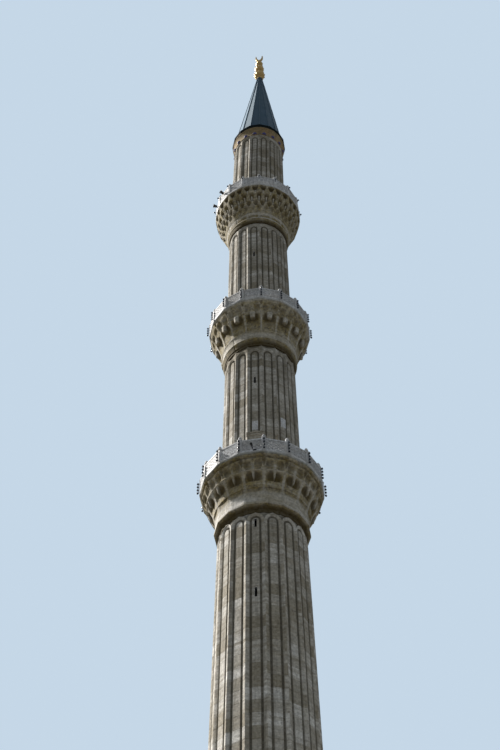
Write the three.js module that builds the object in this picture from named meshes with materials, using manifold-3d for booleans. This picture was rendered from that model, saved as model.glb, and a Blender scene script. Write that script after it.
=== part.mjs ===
// A fluted stone minaret with three corbelled balconies, a lead cone and a gilt finial.
// Lengths are millimetres of the full-size tower, heights are above the ground it stands on, and the
// group is scaled to the 1:2 model at the end. The doors face -Y.
import * as THREE from 'three';
import { mergeVertices } from 'three/addons/utils/BufferGeometryUtils.js';
import { ConvexGeometry } from 'three/addons/geometries/ConvexGeometry.js';
import Module from 'manifold-3d';

const wasm = await Module();
wasm.setup();

const MODEL_SCALE = 1 / 2;
const BED_JOINT = 0.6;
const SIDES = 16;
const PITCH = 2 * Math.PI / SIDES;
const APOTHEM = Math.cos(PITCH / 2);

// Square foot of the tower
const PLINTH = { half: 2700, top: 900 };
const PEDESTAL = { half: 2350, wall: 850, top: 12000 };
const PEDESTAL_CORNICE = { reach: 240, top: 12600 };
const TRANSITION = { top: 16200, squareFoot: 300 };
const RING_MOULDING = { bed: 60, fillet: 90, reach: 170, top: 16800 };
const GROUND_DOORWAY = { width: 1100, height: 2200, leaf: 80, setBack: 320 };

// Storeys of the shaft: radius over the arrises at foot and head, the stairwell inside, how far the
// heads of the flutes stay below the top, and how high the balcony door's head moulding reaches
const STOREYS = [
  {
    foot: 16800, head: 30820, footRadius: 1800, headRadius: 1598, well: 1200, headGap: 45,
    slits: [27050, 30150],
  },
  {
    foot: 33170, head: 40350, footRadius: 1508, headRadius: 1450, well: 1080, headGap: 190,
    slits: [38000], doorTop: 1850,
  },
  {
    foot: 42755, head: 49820, footRadius: 1399, headRadius: 1360, well: 1000, headGap: 120,
    slits: [47080], doorTop: 1640,
  },
  {
    foot: 52212, head: 58560, footRadius: 1335, headRadius: 1270, well: 950, headGap: 60,
    slits: [], doorTop: 1850,
  },
];
const FIRST_STOREY_BED = 23700;
const SLIT = { width: 90, height: 420 };

// One flute, at the radius it is measured on: a sunk panel, a groove round it and splayed sides
const FLUTE = {
  radius: 1600, panel: 125, groove: 210, splay: 296, splayDepth: 42, grooveDepth: 46,
  rise: 1.15, foot: 320, arcSteps: 4,
};
const SCALLOP = { crest: 30, valley: 160, depth: 75, arcSteps: 4 };
const CUT_PROUD = 20;

// Balconies from the collar up: heights with the radius over the corners. Tiers are rows of height,
// radius of the ribs over the arrises and radius of the drops and niches over the flutes.
const BALCONIES = [
  {
    collar: [[30820, 1600], [30860, 1640], [31110, 1728], [31190, 1730], [31230, 1702], [31600, 1700],
      [31860, 1742]],
    lowerTier: [[31860, 1745, 1765], [31990, 1775, 1800], [32030, 1790, 1930], [32250, 1880, 1955],
      [32450, 2005, 2005]],
    upperTier: [[32450, 2005, 1975], [32600, 2045, 2010], [32800, 2155, 2110], [33050, 2250, 2235]],
    rim: 2302, parapet: 33860,
  },
  {
    collar: [[40350, 1460], [40500, 1490], [40720, 1550], [40790, 1550], [40830, 1535], [41120, 1585]],
    lowerTier: [[41120, 1595, 1585], [41400, 1635, 1615], [41700, 1720, 1730], [42000, 1838, 1838]],
    upperTier: [[42000, 1838, 1818], [42200, 1928, 1903], [42400, 2022, 1997], [42635, 2105, 2095]],
    rim: 2164, parapet: 43445,
  },
  {
    collar: [[49820, 1375], [50080, 1448], [50150, 1450], [50190, 1440], [50520, 1500]],
    lowerTier: [[50520, 1520, 1510], [50900, 1650, 1625], [51300, 1795, 1775]],
    upperTier: [[51300, 1795, 1765], [51700, 1962, 1920], [52092, 2050, 2038]],
    rim: 2065, parapet: 52975,
  },
];
const LANDING_HOLE = 700;
const PARAPET = { setIn: 20, panel: 90, post: 150, postProud: 15, postRise: 45 };
const TIER_BAY = { ribHalf: 0.13, nicheHalf: 0.16 };

// Balcony doors stand in a stone frame, under two fascias with a groove between. The flute above the
// door starts over a plain strip.
const DOOR = {
  width: 440, height: 1450, archRise: 160, arcSteps: 8, jamb: 70, leaf: 50, setBack: 90,
  frameDepth: 260, frameProud: 25,
};
const DOOR_HEAD = { overhang: 35, fascia: 70, groove: 45, reach: 60, bond: 10, strip: 60 };

// Roof: the cone stands a little inside its eave
const EAVE_CORNICE = { foot: 58560, profile: [[8, 0], [10, 260], [34, 470]], top: 59240 };
const CONE = {
  eaveRadius: 1406, soffit: 1372, drip: 60, eaveTop: 59480, footRadius: 1258, foot: 59580,
  tipRadius: 132, tip: 67790, shell: 170, solidTip: 1500,
};
const FINIAL = {
  bulbs: [
    { name: 'lower', radius: 310, height: 900, neck: 100, stem: 76 },
    { name: 'middle', radius: 265, height: 800, neck: 90, stem: 62 },
    { name: 'upper', radius: 205, height: 640, neck: 80, stem: 50 },
  ],
  tip: 70900,
};
const CRESCENT = { thickness: 70, footHalf: 45, neckHalf: 60, neck: 130, hollow: 270, belly: 240, span: 230 };

// The tower leans a little to the right (+X) from the top balcony up to the tip of the cone
const LEAN = { foot: 52212, slope: 0.015 };

// Horn loudspeakers hang outside these sides of the top parapet, counted from the front
const HORN = {
  sides: [-2, -3], mouth: 90, throat: 38, length: 165, driver: 52, driverLength: 60, bowl: 45,
  bar: 34, grip: 50, reach: 10, rise: 520,
};

function material(color, roughness, metalness = 0) {
  return new THREE.MeshStandardMaterial({ color, roughness, metalness });
}

const LIMESTONE = material(0xa79b8a, 0.9);
const CARVED_STONE = material(0x8f826c, 0.92);
const MARBLE = material(0xb3b1b3, 0.7);
const OCHRE_PLASTER = material(0x9c7a45, 0.85);
const LEAD = material(0x35485a, 0.45, 0.6);
const GILT = material(0xd9a441, 0.3, 0.9);
const TIMBER = material(0x5a4330, 0.75);
const BLACK_PAINT = material(0x17181a, 0.55);

const tower = new THREE.Group();
tower.scale.setScalar(MODEL_SCALE);

function add(name, geometry, finish, height = 0) {
  const mesh = new THREE.Mesh(geometry, finish.clone());
  mesh.name = name;
  mesh.position.z = height;
  tower.add(mesh);
}

// Booleans

function toSolid(geometry) {
  const bare = geometry.clone();
  bare.deleteAttribute('normal');
  bare.deleteAttribute('uv');
  const merged = mergeVertices(bare, 0.01);
  return new wasm.Manifold(new wasm.Mesh({
    numProp: 3,
    vertProperties: new Float32Array(merged.attributes.position.array),
    triVerts: new Uint32Array(merged.index.array),
  }));
}

function toGeometry(solid) {
  const mesh = solid.getMesh();
  const geometry = new THREE.BufferGeometry();
  geometry.setAttribute('position', new THREE.BufferAttribute(new Float32Array(mesh.vertProperties), 3));
  geometry.setIndex(new THREE.BufferAttribute(new Uint32Array(mesh.triVerts), 1));
  return geometry;
}

function cut(solid, geometries) {
  return geometries.reduce((rest, geometry) => rest.subtract(toSolid(geometry)), solid);
}

function join(geometries) {
  return geometries.map(toSolid).reduce((whole, part) => whole.add(part));
}

// Shapes round the axis

// A point at a turn from the front (-Y), turning towards +X
function around(turn, radius, height) {
  return new THREE.Vector3(radius * Math.sin(turn), -radius * Math.cos(turn), height);
}

// A ring or disc turned round the axis: its outline is [radius, height] and runs up on the outer side
function turned(outline, sides = SIDES) {
  const closed = outline[0][0] === 0 ? outline : [...outline, outline[0]];
  const points = closed.map(([radius, height]) => new THREE.Vector2(radius, height));
  return new THREE.LatheGeometry(points, sides, PITCH / 2).rotateX(Math.PI / 2);
}

function drum(radius, bottom, top, sides = SIDES) {
  return turned([[0, bottom], [radius, bottom], [radius, top], [0, top]], sides);
}

// Shears a piece of the leaning top, so its level planes stay level
function leant(geometry, height) {
  const shear = new THREE.Matrix4().makeShear(0, 0, 0, 0, LEAN.slope, 0);
  return geometry.applyMatrix4(shear).translate(LEAN.slope * (height - LEAN.foot), 0, 0);
}

function block(width, depth, height, centre) {
  return new THREE.BoxGeometry(width, depth, height).translate(...centre);
}

// The solid between two like loops of points, given counter-clockwise as seen from the second one
function loft(back, front, flat) {
  const count = back.length;
  const positions = [...back, ...front].flatMap((point) => point.toArray());
  const index = [];
  for (const [a, b, c] of THREE.ShapeUtils.triangulateShape(flat, [])) {
    index.push(c, b, a, a + count, b + count, c + count);
  }
  for (let i = 0; i < count; i += 1) {
    const next = (i + 1) % count;
    index.push(i, next, next + count, i, next + count, i + count);
  }
  const geometry = new THREE.BufferGeometry();
  geometry.setAttribute('position', new THREE.Float32BufferAttribute(positions, 3));
  geometry.setIndex(index);
  return geometry;
}

// Outline of an upright opening with a round head, from its foot on the left
function archLoop(half, foot, spring, rise, steps) {
  const loop = [new THREE.Vector2(-half, foot), new THREE.Vector2(half, foot)];
  for (let i = 0; i <= steps; i += 1) {
    const angle = Math.PI * i / steps;
    loop.push(new THREE.Vector2(half * Math.cos(angle), spring + rise * Math.sin(angle)));
  }
  return loop;
}

// Outline of the strip between two such openings, one inside the other
function hoopLoop(inner, outer, foot, spring, steps) {
  const within = archLoop(inner, foot, spring, inner * FLUTE.rise, steps).slice(2).reverse();
  const without = archLoop(outer, foot, spring, outer * FLUTE.rise, steps).slice(2);
  return [
    new THREE.Vector2(-outer, foot), new THREE.Vector2(-inner, foot), ...within,
    new THREE.Vector2(inner, foot), new THREE.Vector2(outer, foot), ...without,
  ];
}

// Shaft

function storeyRadius(storey, height) {
  const share = (height - storey.foot) / (storey.head - storey.foot);
  return storey.footRadius + share * (storey.headRadius - storey.footRadius);
}

// Places flat points on one side of the tapering shaft, sunk below the plane of its arrises
function onFace(storey, turn, base) {
  return (point, depth) => {
    const radius = storeyRadius(storey, point.y);
    const across = point.x * radius / FLUTE.radius;
    const out = radius * APOTHEM - depth;
    return new THREE.Vector3(
      out * Math.sin(turn) + across * Math.cos(turn),
      -out * Math.cos(turn) + across * Math.sin(turn),
      point.y - base,
    );
  };
}

function sunk(place, innerLoop, outerLoop, innerDepth, outerDepth) {
  const back = innerLoop.map((point) => place(point, innerDepth));
  const front = outerLoop.map((point) => place(point, outerDepth));
  return loft(back, front, innerLoop);
}

function fluteCuts(place, foot, crown) {
  const { panel, groove, splay, splayDepth, grooveDepth, rise, arcSteps } = FLUTE;
  const spread = splay + (splay - groove) * CUT_PROUD / splayDepth;
  const spring = crown - splay * rise;
  const recess = archLoop(groove, foot, spring, groove * rise, arcSteps);
  const mouth = archLoop(spread, foot, spring, spread * rise, arcSteps);
  const hoop = hoopLoop(panel, groove, foot, spring, arcSteps);
  return [
    sunk(place, recess, mouth, splayDepth, -CUT_PROUD),
    sunk(place, hoop, hoop, splayDepth + grooveDepth, splayDepth - CUT_PROUD),
  ];
}

// Takes the wall back above the arch heads, and leaves a scalloped edge
function scallopCut(place, storey) {
  const lap = 12;
  const half = FLUTE.radius * Math.sin(PITCH / 2) + lap;
  const crest = storey.head - SCALLOP.crest;
  const above = storey.head + CUT_PROUD;
  const loop = [new THREE.Vector2(half, above), new THREE.Vector2(-half, above)];
  for (let i = 0; i <= SCALLOP.arcSteps; i += 1) {
    const angle = Math.PI * (1 - i / SCALLOP.arcSteps);
    const rise = (SCALLOP.valley - SCALLOP.crest) * Math.sin(angle);
    loop.push(new THREE.Vector2(half * Math.cos(angle), crest - (SCALLOP.valley - SCALLOP.crest) + rise));
  }
  return sunk(place, loop, loop, SCALLOP.depth, -3 * CUT_PROUD);
}

function shaftPiece(storey, bottom, top, { footed, headed, scalloped, door }) {
  const below = storeyRadius(storey, bottom);
  const above = storeyRadius(storey, top);
  const height = top - bottom - BED_JOINT;
  const wall = turned([[storey.well, 0], [below, 0], [above, height], [storey.well, height]]);
  const foot = footed ? bottom + FLUTE.foot : bottom - CUT_PROUD;
  const crown = headed ? top - storey.headGap : top + storey.headRadius;
  const cuts = [];
  for (let side = 0; side < SIDES; side += 1) {
    const place = onFace(storey, side * PITCH, bottom);
    const overDoor = door && side === 0;
    cuts.push(...fluteCuts(place, overDoor ? bottom + storey.doorTop + DOOR_HEAD.strip : foot, crown));
    if (scalloped) cuts.push(scallopCut(place, storey));
  }
  for (const sill of storey.slits.filter((level) => level > bottom && level < top)) {
    cuts.push(block(SLIT.width, 2 * storey.headRadius, SLIT.height,
      [0, -storey.headRadius, sill - bottom + SLIT.height / 2]));
  }
  if (door) {
    const width = DOOR.width + 2 * DOOR.jamb + 2 * BED_JOINT;
    const tall = storey.doorTop + BED_JOINT;
    cuts.push(block(width, 2 * below, 2 * tall, [0, -below, 0]));
  }
  return toGeometry(cut(toSolid(wall), cuts));
}

// Balconies

// A corbelled tier whose outline runs in and out between ribs and niches
function scallopedTier(rows, well) {
  const { ribHalf, nicheHalf } = TIER_BAY;
  const columns = [[-0.5 + ribHalf, false], [-nicheHalf, true], [nicheHalf, true], [0.5 - ribHalf, false]];
  const rings = rows.map(([height, rib, niche]) => {
    const ring = [];
    for (let side = 0; side < SIDES; side += 1) {
      for (const [offset, inNiche] of columns) {
        ring.push(around((side + offset) * PITCH, inNiche ? niche : rib, height - rows[0][0]));
      }
    }
    return ring;
  });
  const top = rings[rings.length - 1];
  top.forEach((point) => { point.z -= BED_JOINT; });
  const count = top.length;
  const positions = rings.flat().flatMap((point) => point.toArray());
  const index = [];
  for (let row = 0; row < rings.length - 1; row += 1) {
    for (let i = 0; i < count; i += 1) {
      const a = row * count + i;
      const b = row * count + (i + 1) % count;
      index.push(a, b, b + count, a, b + count, a + count);
    }
  }
  const flat = rings[0].map((point) => new THREE.Vector2(point.x, point.y));
  const last = (rings.length - 1) * count;
  for (const [a, b, c] of THREE.ShapeUtils.triangulateShape(flat, [])) index.push(c, b, a);
  const flatTop = top.map((point) => new THREE.Vector2(point.x, point.y));
  for (const [a, b, c] of THREE.ShapeUtils.triangulateShape(flatTop, [])) {
    index.push(last + a, last + b, last + c);
  }
  const geometry = new THREE.BufferGeometry();
  geometry.setAttribute('position', new THREE.Float32BufferAttribute(positions, 3));
  geometry.setIndex(index);
  const rise = rows[rows.length - 1][0] - rows[0][0];
  return toGeometry(cut(toSolid(geometry), [drum(well, -CUT_PROUD, rise + CUT_PROUD)]));
}

function parapetRing(rim, height) {
  const { setIn, panel, post, postProud, postRise } = PARAPET;
  const outer = rim - setIn;
  const inner = outer - panel / APOTHEM;
  const parts = [turned([[inner, 0], [outer, 0], [outer, height - postRise], [inner, height - postRise]])];
  const postCentre = outer + postProud - post / 2;
  for (let corner = 0; corner < SIDES; corner += 1) {
    const turn = (corner + 0.5) * PITCH;
    const centre = around(turn, postCentre, height / 2);
    parts.push(block(post, post, height, [0, 0, 0]).rotateZ(turn).translate(centre.x, centre.y, centre.z));
  }
  return toGeometry(join(parts));
}

function plate(loop, depth) {
  const flat = new THREE.ExtrudeGeometry(new THREE.Shape(loop), { depth, bevelEnabled: false, steps: 1 });
  return flat.rotateX(Math.PI / 2);
}

// Jambs, lintel and fascias of a balcony door, standing in the doorway of the shaft
function doorFrame(face, headTop) {
  const { width, height, archRise, arcSteps, jamb, frameDepth, frameProud } = DOOR;
  const { overhang, fascia, groove, reach, bond } = DOOR_HEAD;
  const outer = width / 2 + jamb;
  const depth = reach - bond;
  const upright = headTop - BED_JOINT;
  const parts = [block(2 * outer, frameDepth, upright,
    [0, -face - frameProud + frameDepth / 2, upright / 2])];
  for (const fasciaTop of [headTop, headTop - fascia - groove]) {
    parts.push(block(2 * (outer + overhang), depth, fascia,
      [0, -face - reach + depth / 2, fasciaTop - fascia / 2]));
  }
  const loop = archLoop(width / 2, -CUT_PROUD, height - archRise, archRise, arcSteps);
  const through = 2 * (reach + frameDepth);
  return toGeometry(cut(join(parts), [plate(loop, through).translate(0, -face + through / 2, 0)]));
}

function doorLeaf(face) {
  const { width, height, archRise, arcSteps, leaf, setBack } = DOOR;
  const loop = archLoop(width / 2 - BED_JOINT, BED_JOINT, height - archRise, archRise - BED_JOINT, arcSteps);
  return plate(loop, leaf).translate(0, -face + setBack + leaf, 0);
}

// Foot of the tower

add('plinth', block(2 * PLINTH.half, 2 * PLINTH.half, PLINTH.top - BED_JOINT,
  [0, 0, (PLINTH.top - BED_JOINT) / 2]), LIMESTONE);

const pedestalHeight = PEDESTAL.top - PLINTH.top - BED_JOINT;
const pedestalMiddle = PEDESTAL.half - PEDESTAL.wall / 2;
const roomHalf = PEDESTAL.half - PEDESTAL.wall;
const sideLength = 2 * roomHalf - 2 * BED_JOINT;
for (const [name, sign] of [['pedestal_left', -1], ['pedestal_right', 1]]) {
  add(name, block(PEDESTAL.wall, 2 * PEDESTAL.half, pedestalHeight,
    [sign * pedestalMiddle, 0, pedestalHeight / 2]), LIMESTONE, PLINTH.top);
}
add('pedestal_back', block(sideLength, PEDESTAL.wall, pedestalHeight,
  [0, pedestalMiddle, pedestalHeight / 2]), LIMESTONE, PLINTH.top);
const cheek = (sideLength - GROUND_DOORWAY.width) / 2;
for (const [name, sign] of [['pedestal_front_left', -1], ['pedestal_front_right', 1]]) {
  add(name, block(cheek, PEDESTAL.wall, pedestalHeight,
    [sign * (GROUND_DOORWAY.width + cheek) / 2, -pedestalMiddle, pedestalHeight / 2]), LIMESTONE, PLINTH.top);
}
const overDoor = pedestalHeight - GROUND_DOORWAY.height;
add('pedestal_over_door', block(GROUND_DOORWAY.width - 2 * BED_JOINT, PEDESTAL.wall, overDoor,
  [0, -pedestalMiddle, GROUND_DOORWAY.height + overDoor / 2]), LIMESTONE, PLINTH.top);
add('ground_door', block(GROUND_DOORWAY.width - 2 * BED_JOINT, GROUND_DOORWAY.leaf,
  GROUND_DOORWAY.height - 2 * BED_JOINT,
  [0, -PEDESTAL.half + GROUND_DOORWAY.setBack, GROUND_DOORWAY.height / 2]), TIMBER, PLINTH.top);

// The square mouldings are turned with four sides, so their radius is to the corner
const corniceHeight = PEDESTAL_CORNICE.top - PEDESTAL.top - BED_JOINT;
const corniceOutline = [[0, 0], [60, 90], [90, 260], [190, 400], [240, 430], [240, 600]]
  .map(([reach, level]) => [PEDESTAL.half + reach, Math.min(level, corniceHeight)]);
const cornicePoints = [[0, 0], ...corniceOutline, [0, corniceHeight]]
  .map(([half, level]) => new THREE.Vector2(half * Math.SQRT2, level));
const corniceBlock = new THREE.LatheGeometry(cornicePoints, 4, Math.PI / 4).rotateX(Math.PI / 2);
add('pedestal_cornice', toGeometry(cut(toSolid(corniceBlock),
  [block(2 * roomHalf, 2 * roomHalf, 3 * corniceHeight, [0, 0, 0])])), LIMESTONE, PEDESTAL.top);

const transitionHeight = TRANSITION.top - PEDESTAL_CORNICE.top - BED_JOINT;
const bedRadius = STOREYS[0].footRadius + RING_MOULDING.bed;
const transitionPoints = [];
for (const [x, y] of [[-1, -1], [1, -1], [1, 1], [-1, 1]]) {
  for (const level of [0, TRANSITION.squareFoot]) {
    transitionPoints.push(new THREE.Vector3(x * PEDESTAL.half, y * PEDESTAL.half, level));
  }
}
for (let corner = 0; corner < SIDES; corner += 1) {
  transitionPoints.push(around((corner + 0.5) * PITCH, bedRadius, transitionHeight));
}
add('transition', toGeometry(cut(toSolid(new ConvexGeometry(transitionPoints)),
  [drum(STOREYS[0].well, -CUT_PROUD, transitionHeight + CUT_PROUD)])), LIMESTONE, PEDESTAL_CORNICE.top);

const ringHeight = RING_MOULDING.top - TRANSITION.top - BED_JOINT;
const ringMoulding = [[STOREYS[0].well, 0], [bedRadius, 0]];
const roundHalf = ringHeight / 2 - RING_MOULDING.fillet;
for (let i = 0; i <= 4; i += 1) {
  const angle = Math.PI * (i / 4 - 0.5);
  ringMoulding.push([bedRadius + RING_MOULDING.reach * Math.cos(angle),
    ringHeight / 2 + roundHalf * Math.sin(angle)]);
}
ringMoulding.push([bedRadius, ringHeight], [STOREYS[0].well, ringHeight]);
add('ring_moulding', turned(ringMoulding), CARVED_STONE, TRANSITION.top);

// Shaft storeys, with a doorway on each balcony

const [first, ...upper] = STOREYS;
add('shaft_1_lower', shaftPiece(first, first.foot, FIRST_STOREY_BED, { footed: true }), LIMESTONE,
  first.foot);
add('shaft_1_upper', shaftPiece(first, FIRST_STOREY_BED, first.head, { headed: true, scalloped: true }),
  LIMESTONE, FIRST_STOREY_BED);
upper.forEach((storey, i) => {
  const ends = { footed: true, headed: true, door: true };
  const stands = (geometry) => (storey.foot < LEAN.foot ? geometry : leant(geometry, storey.foot));
  const shaft = shaftPiece(storey, storey.foot, storey.head, ends);
  add(`shaft_${i + 2}`, stands(shaft), LIMESTONE, storey.foot);
  const face = storey.footRadius * APOTHEM;
  add(`balcony_door_frame_${i + 1}`, stands(doorFrame(face, storey.doorTop)), LIMESTONE, storey.foot);
  add(`balcony_door_${i + 1}`, stands(doorLeaf(face)), TIMBER, storey.foot);
});

BALCONIES.forEach((balcony, i) => {
  const number = i + 1;
  const storeyBelow = STOREYS[i];
  const storeyAbove = STOREYS[i + 1];
  const collarFoot = balcony.collar[0][0];
  const profile = balcony.collar.map(([height, radius]) => [radius, height - collarFoot]);
  profile[profile.length - 1][1] -= BED_JOINT;
  const collarTop = profile[profile.length - 1][1];
  add(`collar_${number}`, turned([[storeyBelow.well, 0], ...profile, [storeyBelow.well, collarTop]],
    i === 0 ? SIDES : 2 * SIDES), CARVED_STONE, collarFoot);
  add(`corbel_${number}_lower`, scallopedTier(balcony.lowerTier, storeyBelow.well), CARVED_STONE,
    balcony.lowerTier[0][0]);
  add(`corbel_${number}_upper`, scallopedTier(balcony.upperTier, storeyBelow.well), CARVED_STONE,
    balcony.upperTier[0][0]);
  const slabFoot = balcony.upperTier[balcony.upperTier.length - 1][0];
  const slab = storeyAbove.foot - slabFoot - BED_JOINT;
  add(`balcony_${number}_floor`, turned([[LANDING_HOLE, 0], [balcony.rim, 0], [balcony.rim, slab],
    [LANDING_HOLE, slab]]), MARBLE, slabFoot);
  add(`parapet_${number}`, parapetRing(balcony.rim, balcony.parapet - storeyAbove.foot), MARBLE,
    storeyAbove.foot);
});

// Roof

const top = STOREYS[STOREYS.length - 1];
const eaveHeight = EAVE_CORNICE.top - EAVE_CORNICE.foot - BED_JOINT;
const eaveProfile = EAVE_CORNICE.profile.map(([reach, level]) => [top.headRadius + reach, level]);
const eaveCornice = turned([[top.well, 0], ...eaveProfile, [CONE.soffit - 12, eaveHeight],
  [top.well, eaveHeight]], 2 * SIDES);
add('eave_cornice', leant(eaveCornice, EAVE_CORNICE.foot), OCHRE_PLASTER, EAVE_CORNICE.foot);

const coneRise = CONE.tip - EAVE_CORNICE.top - BED_JOINT;
const coneInside = CONE.footRadius - CONE.shell;
const cone = turned([[coneInside, 0], [CONE.soffit, 0], [CONE.eaveRadius, CONE.drip],
  [CONE.eaveRadius, CONE.eaveTop - EAVE_CORNICE.top], [CONE.footRadius, CONE.foot - EAVE_CORNICE.top],
  [CONE.tipRadius, coneRise], [0, coneRise], [0, coneRise - CONE.solidTip],
  [coneInside, CONE.foot - EAVE_CORNICE.top]]);
add('cone', leant(cone, EAVE_CORNICE.top), LEAD, EAVE_CORNICE.top);

// Gilt finial: three bulbs on a stem and a horned tip
function bulb({ radius, height, neck, stem }) {
  const top = height - BED_JOINT;
  const outline = [[0, 0], [stem * 1.6, 0], [stem, neck]];
  const steps = 6;
  for (let i = 1; i < steps; i += 1) {
    const angle = Math.PI * (i / steps - 0.5);
    outline.push([Math.max(stem, radius * Math.cos(angle)), neck + (top - 2 * neck) * i / steps]);
  }
  outline.push([stem, top - neck], [stem * 1.3, top], [0, top]);
  return turned(outline);
}

const finialShift = LEAN.slope * (CONE.tip - LEAN.foot);
let crescentFoot = CONE.tip;
for (const shape of FINIAL.bulbs) {
  add(`finial_${shape.name}_bulb`, bulb(shape).translate(finialShift, 0, 0), GILT, crescentFoot);
  crescentFoot += shape.height;
}

const { thickness, footHalf, neckHalf, neck, hollow, belly, span } = CRESCENT;
const hornTop = FINIAL.tip - crescentFoot;
const horned = new THREE.Shape();
horned.moveTo(-footHalf, 0);
horned.lineTo(footHalf, 0);
horned.lineTo(neckHalf, neck);
horned.quadraticCurveTo(belly, (neck + hollow) / 2, span, hornTop);
horned.quadraticCurveTo(span / 2, hollow * 1.2, 0, hollow);
horned.quadraticCurveTo(-span / 2, hollow * 1.2, -span, hornTop);
horned.quadraticCurveTo(-belly, (neck + hollow) / 2, -neckHalf, neck);
const crescent = new THREE.ExtrudeGeometry(horned,
  { depth: thickness, bevelEnabled: false, curveSegments: 6 });
crescent.translate(0, 0, -thickness / 2).rotateX(Math.PI / 2).translate(finialShift, 0, 0);
add('finial_crescent', crescent, GILT, crescentFoot);

// Horn loudspeakers, each on a bar from the parapet

HORN.sides.forEach((side, i) => {
  const panelFace = (BALCONIES[2].rim - PARAPET.setIn) * APOTHEM;
  const { mouth, throat, length, driver, driverLength, bowl, grip } = HORN;
  const horn = turned([[0, 0], [driver, 0], [driver, driverLength], [throat, driverLength + 20],
    [throat * 1.6, length * 0.6], [mouth, length], [0, length - bowl]]).rotateX(Math.PI / 2);
  const barLength = HORN.reach + driver;
  const bar = block(HORN.bar, barLength + grip, HORN.bar, [0, (barLength - grip) / 2, -driver / 2]);
  const out = panelFace + barLength + BED_JOINT;
  add(`loudspeaker_${i + 1}`, toGeometry(join([horn, bar])).translate(0, -out, 0)
    .rotateZ(side * PITCH), BLACK_PAINT, STOREYS[3].foot + HORN.rise);
});

export default tower;
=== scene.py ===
# A fluted stone minaret at 1:2, dressed over its solid model.
# Sizes are millimetres of the full-size tower unless a comment says otherwise, heights are above its
# foot, and MM turns them into metres of the model. Turns are counted from the front (-Y) towards +X.
import math

import bpy
import numpy as np
from mathutils import Matrix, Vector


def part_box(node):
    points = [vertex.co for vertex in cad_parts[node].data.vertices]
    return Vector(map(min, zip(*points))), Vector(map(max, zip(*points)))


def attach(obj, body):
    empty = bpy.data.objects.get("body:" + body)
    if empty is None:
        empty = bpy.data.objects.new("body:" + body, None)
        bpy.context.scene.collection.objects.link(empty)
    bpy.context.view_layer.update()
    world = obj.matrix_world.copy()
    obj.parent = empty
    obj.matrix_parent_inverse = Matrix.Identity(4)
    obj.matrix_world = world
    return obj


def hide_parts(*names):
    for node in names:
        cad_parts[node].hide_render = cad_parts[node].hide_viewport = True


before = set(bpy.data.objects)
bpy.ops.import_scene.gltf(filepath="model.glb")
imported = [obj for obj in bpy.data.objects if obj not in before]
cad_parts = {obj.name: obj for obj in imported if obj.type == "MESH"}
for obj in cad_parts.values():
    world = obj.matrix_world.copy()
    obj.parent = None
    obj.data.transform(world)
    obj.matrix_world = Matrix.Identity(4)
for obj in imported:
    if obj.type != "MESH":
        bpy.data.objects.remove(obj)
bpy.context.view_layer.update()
MM = 0.0005
SIDES = 16
PITCH = 2 * math.pi / SIDES


# The camera stands at the foot of the tower and looks steeply up at it, as the photograph does.
# Its lengths are metres of the model.
def in_scene(name, data):
    """An object with that name and data, linked to the scene."""
    made = bpy.data.objects.new(name, data)
    bpy.context.scene.collection.objects.link(made)
    return made


camera_stand, camera_height, camera_lens, camera_reach = 15.715, 0.8, 57.88, 200
camera_side, camera_aim = math.radians(8.71), math.radians(9.47)
camera_tilt, camera_roll = math.radians(50.84), math.radians(-0.26)
camera = in_scene("camera", bpy.data.cameras.new("camera"))
camera.location = (camera_stand * math.sin(camera_side), -camera_stand * math.cos(camera_side), camera_height)
upwards = Matrix.Rotation(camera_aim, 4, "Z") @ Matrix.Rotation(math.radians(90) + camera_tilt, 4, "X")
camera.rotation_euler = (upwards @ Matrix.Rotation(camera_roll, 4, "Z")).to_euler()
camera.data.lens = camera_lens
camera.data.clip_end = camera_reach
bpy.context.scene.camera = camera


# Light: one broad lamp from the left stands for the sun, with soft light from all round, paler from
# above than from below, and a pale backdrop.
sun_turn, sun_rise = math.radians(-101.5), math.radians(46)
sun = in_scene("sun", bpy.data.lights.new("sun", "SUN"))
sun.data.energy = 7.6
sun.data.angle = math.radians(3)
sun.data.color = (1.0, 0.96, 0.91)
sun.rotation_euler = (math.radians(90) - sun_rise, 0, sun_turn)


def fed(tree, node, values):
    """The node with each socket set to its value, or linked to it where that is another socket."""
    for key, value in values.items():
        if isinstance(value, bpy.types.NodeSocket):
            tree.links.new(value, node.inputs[key])
        else:
            node.inputs[key].default_value = value
    return node


def wire(tree, kind, values=None, out=0, **settings):
    """One output of a new node of that kind, with its settings made and its sockets fed."""
    made = tree.nodes.new(kind)
    for key, value in settings.items():
        setattr(made, key, value)
    return fed(tree, made, values or {}).outputs[out]


def mixed(tree, share, first, second, blend="MIX"):
    """The colour between two others."""
    values = {0: share, 6: first, 7: second}
    return wire(tree, "ShaderNodeMix", values, out=2, data_type="RGBA", blend_type=blend)


def remapped(tree, value, low, high, to_low=0.0, to_high=1.0):
    """The value between two new ends, held at them past the old ones."""
    values = {"Value": value, "From Min": low, "From Max": high, "To Min": to_low, "To Max": to_high}
    return wire(tree, "ShaderNodeMapRange", values)


bpy.context.scene.view_settings.view_transform = "Standard"
backdrop_colour = (0.56, 0.68, 0.80, 1)
ambient_above, ambient_below = (0.28, 0.315, 0.35, 1), (0.185, 0.18, 0.16, 1)
world = bpy.data.worlds.new("studio")
world.use_nodes = True
tree = world.node_tree
tree.nodes.clear()
sky = wire(tree, "ShaderNodeTexCoord", out="Generated")
rise = wire(tree, "ShaderNodeSeparateXYZ", {"Vector": sky}, out="Z")
ambient = mixed(tree, remapped(tree, rise, -0.5, 0.5), ambient_below, ambient_above)
shown = mixed(tree, wire(tree, "ShaderNodeLightPath", out="Is Camera Ray"), ambient, backdrop_colour)
lit = wire(tree, "ShaderNodeBackground", {"Color": shown})
fed(tree, tree.nodes.new("ShaderNodeOutputWorld"), {"Surface": lit})
bpy.context.scene.world = world


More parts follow.
